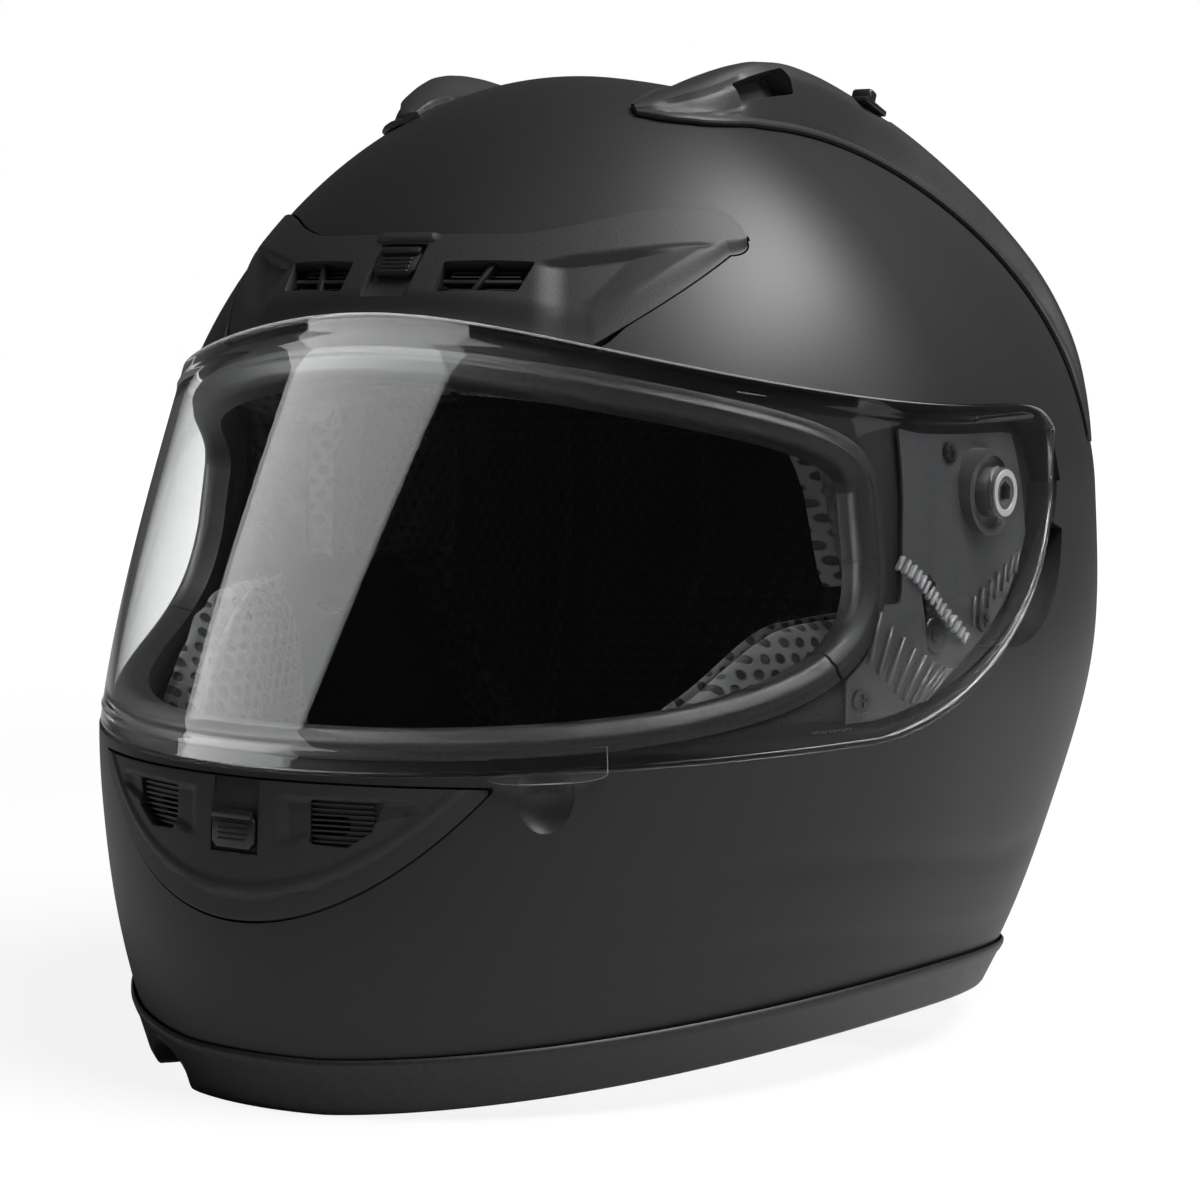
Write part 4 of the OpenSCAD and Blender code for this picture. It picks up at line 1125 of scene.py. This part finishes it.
q, p, out = station(3.2)
along = unit(station(3.5)[1] - station(2.9)[1])
across = unit(np.cross(out, along))
z = unit(out * 0.75 - across * 0.65)
y = unit(np.cross(z, along))
x = np.cross(y, z)
o = p + out * (SCOOP_OFF + 0.5 * q[4]) - across * 0.25 * q[3] - z * 2.4
intake = Matrix([[x[i], y[i], z[i], o[i]] for i in range(3)] + [[0, 0, 0, 1]])
q, p, out = station(6.35)
crest = onto(p[None], np.array([SCOOP_OFF + q[4] - 1]))[0]
knob = Matrix.Translation(Vector(crest)) @ Matrix.Rotation(math.radians(-20), 4, "X")
print("knob seat", [round(v, 1) for v in knob.translation])

# %% Scoops and their knobs
for side, word in SIDES:
    dress(scoop_body("scoop_" + word, side), moulded, "helmet", "vent_black", "top_scoop_" + word)
    parts = [soft_box(knob, (-4.2, -8.7, -0.7), (4.2, 2.7, 0.9), 0.3),
             soft_box(knob, (-3.2, -6, 0.5), (3.2, -2, 4.5), 1.0, 3)]
    parts += [soft_box(knob, (-3.0, -1.2 + 1.3 * k, 0.7), (3.0, -0.5 + 1.3 * k, 1.4), 0.2, 1)
              for k in range(3)]
    ob = join("scoop_knob_" + word, parts)
    if side < 0:
        mirror(ob.data)
    dress(ob, slick, "scoop_slider_" + word, "slider_black", "scoop_slider_" + word)

# %% [markdown]
# ## Rear exhaust cover
# Air leaves at the back of the head through a low bowed cover with three slots.

# %% Rear cover
rear = skin("rear_cover", span(160, 200, 90), 26,
            lambda a: 166 + 2.5 * ((a - 180) / 20) ** 4, lambda a: 190 - 4 * ((a - 180) / 20) ** 4,
            lambda a, t: 1 + 4 * np.sin(np.pi * t) * rounded((a - 180) / 20, 3), 0.6)
slots = [soften(prism("slot", seat(180 + 10 * s, 176, 0, 0), stadium(11, 3.2, 10), -4, 12), 0.3)
         for s in (-1, 0, 1)]
carve(rear, slots)
dress(rear, moulded, "helmet", "vent_black", "rear_exhaust_cover")

# %% [markdown]
# ## Side plates
# Behind the clear visor each side carries a nylon plate with the pivot boss, a toothed rack that clicks the
# visor into its positions, a ribbed fan-shaped grille and three screws. The plate is a thin skin; the teeth
# and ribs are laid on it by the block tree.

# %% Plate skins and bosses
def plate_out(a):
    return RECESS + 1.4 + (SIDE + 2.2 - RECESS - 1.4) * ramp(a, 77, 85)


def plate_top(a):
    k = ramp(a, 75, 79)
    return (port_low(np.minimum(a, 72)) - 4.5) * (1 - k) + (visor_top(a) - 5) * k


def bend(o, p, q):
    "More than 0 where the way from o by p to q turns left"
    return (p[0] - o[0]) * (q[1] - o[1]) - (p[1] - o[1]) * (q[0] - o[0])


def lever_outline(grow, sweep):
    "Hull of the lever's two round ends, swept through an angle"
    pts = []
    for t in np.radians(np.linspace(0, sweep, 5)):
        for cx, cy, r in ((0, 0, 3 + grow), (0, 13, 2 + grow)):
            for k in range(24):
                x, y = cx + r * math.cos(k * math.pi / 12), cy + r * math.sin(k * math.pi / 12)
                pts.append((x * math.cos(t) - y * math.sin(t), x * math.sin(t) + y * math.cos(t)))
    pts = sorted(set((round(x, 4), round(y, 4)) for x, y in pts))
    hull = []
    for order in (pts, pts[::-1]):
        part = []
        for q in order:
            while len(part) > 1 and bend(*part[-2:], q) <= 0:
                part.pop()
            part.append(q)
        hull += part[:-1]
    return hull


LEVER = seat(82, 116, plate_out(82))
plate = skin("plate", span(66, 109, 130), 40, lambda a: visor_low(a) + 4, plate_top,
             lambda a, t: plate_out(a), lambda a, t: plate_out(a) - 0.9 - 0.8 * ramp(a, 77, 85))


def disc(name, r, low, high, n=64):
    "Round of the pivot's axis, from one share of the half width to another"
    return prism(name, SIDE_TURN, circle(r, n), BROAD / 2 * low, BROAD / 2 * high)


carve(plate, [disc("ring", 11.5, 0.895, 0.936)], "UNION")
carve(plate, [disc("moat", 9.6, 0.925, 1)])
carve(plate, [disc("boss", 6.7, 0.895, 0.973)], "UNION")
carve(plate, [prism("lever_slot", LEVER, lever_outline(0.5, 14), -6, 6), disc("hex", 3.2, 0.955, 1, 6)])
soften(plate, 0.3, 2, 50)
print("plate", len(plate.data.polygons))

# %% Rack, grille and ribs
def plate_blocks(name, a, z, size, lean, lift, finish, edge):
    p, n, side, up = frames(a, z, plate_out(np.asarray(a)) + lift)
    lean = np.radians(lean)[:, None] if np.ndim(lean) else math.radians(lean)
    return blocks(name, finish, p, n, side * np.cos(lean) + up * np.sin(lean), size, 0.02, edge)


rack_a = np.linspace(75.6, 89.3, 15)
rack_z = 135.4 - 21.9 * ((rack_a - 75.3) / 14.3) ** 1.15
teeth = plate_blocks("rack", rack_a, rack_z, (4.2, 1.1, 1.6), 52.0 - 20 * (rack_a - 75) / 15, 0.5, coarse,
                     0.25)
fan_a, fan_z, fan_t = [], [], []
for k in range(9):
    u = k / 8
    fan_a.append(70.5 + 12.5 * u)
    fan_z.append(117.0 - 14.5 * u - 4 * math.sin(math.pi * u))
    fan_t.append(68 - 34 * u)
fan = plate_blocks("fan", fan_a, fan_z, (13.5, 0.9, 1.3), np.array(fan_t), 0.4, coarse, 0.25)
wide_a = np.linspace(92, 105, 7)
low_ribs = plate_blocks("low_ribs", wide_a, 121 + 0.9 * (wide_a - 92), (8, 0.8, 1.1),
                        74 - 1.5 * (wide_a - 92), 0.4, coarse, 0.2)
cap = carve(disc("cap", 6.2, 0.962, 0.976), [disc("hole", 4.4, 0.95, 1)])
soften(cap, 0.4, 3, 50)
side_rack = join("rack_and_cap", [teeth, cap])
side_relief = join("relief", [fan, low_ribs])
for side, word in SIDES:
    for source, name, look in ((plate, "side_plate_cover_", plate_grey),
                               (side_relief, "side_relief_", grey_rib), (side_rack, "side_rack_", smoky)):
        me = source.data.copy()
        if side < 0:
            mirror(me)
        if source is plate:
            shade(me, 30)
        dress(add_object(name + word, me), look, "helmet", "mechanism_black", "side_plate_" + word)
for source in (plate, side_relief, side_rack):
    bpy.data.objects.remove(source)

# %% Lock levers
for side, word in SIDES:
    m = LEVER @ Matrix.Translation((0, 0, -0.5))
    parts = [soften(prism("arm", m, lever_outline(-0.1, 0), -0.6, 0.7), 0.25, 2, 40),
             soften(prism("grip", m, circle(1.4, 24, 0, 12.6), 0.4, 1.5), 0.3, 2, 40),
             soften(prism("button", m, circle(4.8, 48), 0.65, 1.7), 0.35, 3, 40),
             soften(prism("hub", m, circle(2.2, 32), 1.4, 2.1), 0.25, 2, 40)]
    ob = join("lever_" + word, parts)
    if side < 0:
        mirror(ob.data)
    shade(ob.data, 35)
    dress(ob, slick, "lever_" + word, "mechanism_black", "lock_lever_" + word)

# %% [markdown]
# ## Linings
# Behind the shell lies bead foam. Over it goes a removable liner of fine ribbed knit, quilted in
# channels, and two cheek pads under open spacer mesh. The pads are blown up with a short cloth
# simulation, so that their faces crown and their edges stay pulled in.

# %% Foam and crown liner
FOAM_OFF, FOAM_IN, LINER_IN = -5.2, -31.2, -39.8


def foam_low(a):
    b = np.abs(np.where(a > 180, 360 - a, a))
    k = ramp(b, PORT_A + 1, PORT_A + 9)
    front = np.where(b < PORT_A - 8, port_top(np.minimum(b, PORT_A - 8)) + 5,
                     (port_top(PORT_A - 8) + 5) * (1 - k) + 128 * k)
    return np.where(b < 110, front, 128 + (52 - 128) * ramp(b, 110, 130))


def foam_outer(a, v):
    b = np.where(a > 180, 360 - a, a)
    z = TALL * np.where(v > WIDEST, WIDEST + (1 - WIDEST) * crown(v), v)
    k = (1 - ramp(b, 124, 138)) * (1 - ramp(z, 234, 244))
    return FOAM_OFF + (FRAME_IN - 1.5 - FOAM_OFF) * k


crown_foam = dome("crown_foam_shell", 132, 36, 20, foam_low, foam_outer, FOAM_IN)
dress(crown_foam, foam, "helmet", "foam_black", "crown_foam")
chin_foam = skin("chin_foam_block", span(-27, 27, 60), 14, 28, 78,
                 lambda a, t: FOAM_OFF + (FRAME_IN - 0.6 - FOAM_OFF) * t,
                 lambda a, t: FOAM_OFF + (FRAME_IN - FOAM_OFF) * t - 11)
dress(soften(chin_foam, 2.0, 3, 40), foam, "helmet", "foam_black", "chin_foam")


def quilt(a, v):
    z = TALL * np.where(v > WIDEST, WIDEST + (1 - WIDEST) * crown(v), v)
    seam = np.exp(-(((a + 11.25) % 22.5 - 11.25) / 1.1) ** 2) * (1 - ramp(z, 205, 215))
    hoop = np.exp(-((z - 214) / 2.0) ** 2) + np.exp(-((z - 186) / 1.6) ** 2) * ramp(z, 150, 186)
    return LINER_IN + 1.8 * np.maximum(seam, np.minimum(hoop, 1))


crown_liner = dome("crown_liner_pad", 288, 24, 90, lambda a: foam_low(a) + 3, FOAM_IN - 0.9, quilt, 60)
dress(crown_liner, ribbed, "helmet", "liner_fabric", "crown_liner")

# %% Blowing up a pad
def plump(ob, voxel, pressure, cap, frames_run=20):
    "Remesh, inflate with Cloth, cap the movement and apply it"
    mod = ob.modifiers.new("even", "REMESH")
    mod.mode, mod.voxel_size = "VOXEL", voxel / 1000
    settle(ob, 0)
    rest = np.array([v.co for v in ob.data.vertices])
    cloth = ob.modifiers.new("cloth", "CLOTH")
    cloth.settings.use_pressure, cloth.settings.uniform_pressure_force = True, pressure
    cloth.settings.effector_weights.gravity = 0
    cloth.point_cache.frame_start, cloth.point_cache.frame_end = 1, frames_run
    for f in range(1, frames_run + 1):
        bpy.context.scene.frame_set(f)
    settle(ob, 0)
    bpy.context.scene.frame_set(1)
    moved = np.array([v.co for v in ob.data.vertices]) - rest
    far = np.linalg.norm(moved, axis=1, keepdims=True)
    moved *= np.minimum(1, cap / 1000 / np.maximum(far, 1e-9))
    ob.data.vertices.foreach_set("co", (rest + moved).ravel())
    print(ob.name, "moved up to", round(float(far.max()) * 1000, 1), "mm")
    mod = ob.modifiers.new("smooth", "SUBSURF")
    mod.levels = mod.render_levels = 1
    settle(ob, 80)
    return ob


def swell(u):
    return np.maximum(0.05, 1 - np.abs(2 * u - 1) ** 4) ** 0.4


def cheek_top(a):
    return 84 + 42 * ramp(np.abs(a), 33, 65)


def pad_inner(a, t):
    u = (np.abs(a) - 31) / 53
    return FRAME_IN - 3.6 - 23 * swell(t) * swell(u)


for side, word in SIDES:
    angles = span(32, 83, 40) if side > 0 else span(-83, -32, 40)
    pad = skin("cheek_cushion_" + word, angles, 26, 36, lambda a: cheek_top(a) - 2,
               FRAME_IN - 4, pad_inner, 0)
    plump(pad, 4.5, 4.0, 5)
    dress(pad, mesh_cloth, "helmet", "pad_fabric", "cheek_pad_" + word)

# %% Piping and neck roll
for side, word in SIDES:
    u = np.linspace(0, 1, 70)
    a = side * (33.5 + 48 * u)
    z = cheek_top(a) - 3.2
    cord_r = 1.5
    loop = [[cord_r * math.cos(k * math.pi / 5), cord_r * math.sin(k * math.pi / 5)] for k in range(10)]
    depth = -23 * swell(0.93 + 0 * u) * swell(np.clip(u * 48 / 53 + 0.047, 0, 1))
    piping = rail("pad_piping_" + word, a, z,
                  lambda i: [[x, y + FRAME_IN - 3.6 + 0.93 * depth[i] + 2] for x, y in loop], False, 80)
    dress(piping, ribbed, "helmet", "liner_fabric", "cheek_pad_" + word)

neck_a = np.linspace(106, 254, 220)


def neck_section(i):
    u = i / 219
    k = 0.6 + 0.4 * math.sin(math.pi * u)
    pucker = 1 - 0.05 * math.exp(-((((u * 9) % 1) - 0.5) / 0.06) ** 2)
    deep = -SHELL_T - 0.6 - 12 * k
    pts = []
    for p in np.radians(np.arange(0, 360, 9)):
        seam = 1
        for middle in (300, 225):
            seam -= 0.07 * math.exp(-((math.degrees(p) - middle) / 7) ** 2)
        pts.append([14 * k * math.cos(p) * seam * pucker, deep + 12 * k * math.sin(p) * seam * pucker])
    return pts


neck = rail("neck_cushion", neck_a, rim(neck_a) + 23, neck_section, False, 80)
dress(neck, ribbed, "helmet", "liner_fabric", "neck_roll")

# %% [markdown]
# ## Chin strap
# Two lengths of woven webbing hang from steel anchors. One is folded round the straight bars of two
# D-rings and sewn back on itself; the other ends free with a snap. The weave is a material, the
# stitches are small blocks set along the fold.

# %% Webbing
def band(name, way, wide, thick, y0, steps=10):
    way = np.array(way, float)
    d = np.concatenate([[0], np.cumsum(np.linalg.norm(np.diff(way, axis=0), axis=1))])
    s = np.linspace(0, d[-1], steps * (len(way) - 1) + 1)
    path = np.stack([np.interp(s, d, way[:, k]) for k in (0, 1)], 1)
    soft = path.copy()
    for _ in range(3):
        soft[1:-1] = (soft[:-2] + 2 * soft[1:-1] + soft[2:]) / 4
    t = np.gradient(soft, axis=0)
    nrm = np.stack([-t[:, 1], t[:, 0]], 1) / np.linalg.norm(t, axis=1, keepdims=True)
    h, w = thick / 2, wide / 2
    sec = [(-w, -h * 0.5), (-w + 0.6, -h), (w - 0.6, -h), (w, -h * 0.5), (w, h * 0.5), (w - 0.6, h),
           (-w + 0.6, h), (-w, h * 0.5)]
    pts = [[p[0] + q[0] * b, y0 + a, p[1] + q[1] * b] for p, q in zip(soft, nrm) for a, b in sec]
    ob = mesh_object(name, pts, tube_faces(len(soft), len(sec)), 40)
    bm = bmesh.new()
    bm.from_mesh(ob.data)
    bmesh.ops.recalc_face_normals(bm, faces=bm.faces)
    bm.to_mesh(ob.data)
    bm.free()
    return ob


STRAP_Y, ANCHOR_X, ANCHOR_Z = -4.0, BROAD / 2 - 20, 58.0
RING_X, WIRE, PITCH_Z = 12.0, 2.0, 4.4


def strap_way(end):
    return [[ANCHOR_X, ANCHOR_Z + 10], [ANCHOR_X - 1, ANCHOR_Z - 8], [ANCHOR_X - 8, 34], [ANCHOR_X - 24, 21],
            [60, 14], [40, 11], [end, 10]]


loop_r = WIRE + 0.4
fold = band("strap", strap_way(RING_X + loop_r + 1), 25, 2, STRAP_Y)


def round_bar(z, start, end, n):
    "Points of the webbing where it passes round a ring's straight bar"
    return [(RING_X + (loop_r + 1) * math.cos(k), z + (loop_r + 1) * math.sin(k))
            for k in np.linspace(start, end, n)]


way = [(RING_X + loop_r + 2, 10 - loop_r - 1)] + round_bar(10, -math.pi / 2, -math.pi, 7)
way += round_bar(10 + PITCH_Z, math.pi, 0, 13) + [(RING_X + loop_r + 1, 10 - loop_r - 1)]
sleeve = band("sleeve", way, 25, 1.8, STRAP_Y, 3)
strap_left = join("chin_strap_left", [fold, sleeve])
dress(strap_left, webbing, "helmet", "webbing_black", "strap_left")
strap_right = band("chin_strap_right", [[-x, z] for x, z in strap_way(14)], 25, 2, STRAP_Y)
dress(strap_right, webbing, "helmet", "webbing_black", "strap_right")

# %% Stitches
pts = []
for x in np.arange(-48, -30, 1.6):
    pts += [(x, STRAP_Y - 9, 12.15), (x, STRAP_Y + 9, 12.15)]
for y in np.arange(STRAP_Y - 9, STRAP_Y + 9.1, 2.0):
    pts += [(22, y, 11.15), (27, y, 11.15)]
thread = blocks("strap_stitches", ribbed, pts, (0, 0, 1), (1, 0.2, 0), (1.1, 0.5, 0.35), 0.1)
dress(thread, ribbed, "helmet", "webbing_black", "strap_left", "strap_right")

# %% Finishes of the solids that stay
for node, finish in (("strap_anchors", steel), ("ring_inner", steel), ("ring_outer", steel),
                     ("snap_button", slick), ("pad_snaps", slick),
                     ("side_plate_screws", dark_steel)):
    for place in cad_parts[node].material_slots:
        place.material = finish.m
    print(node, "wears", finish.m.name)
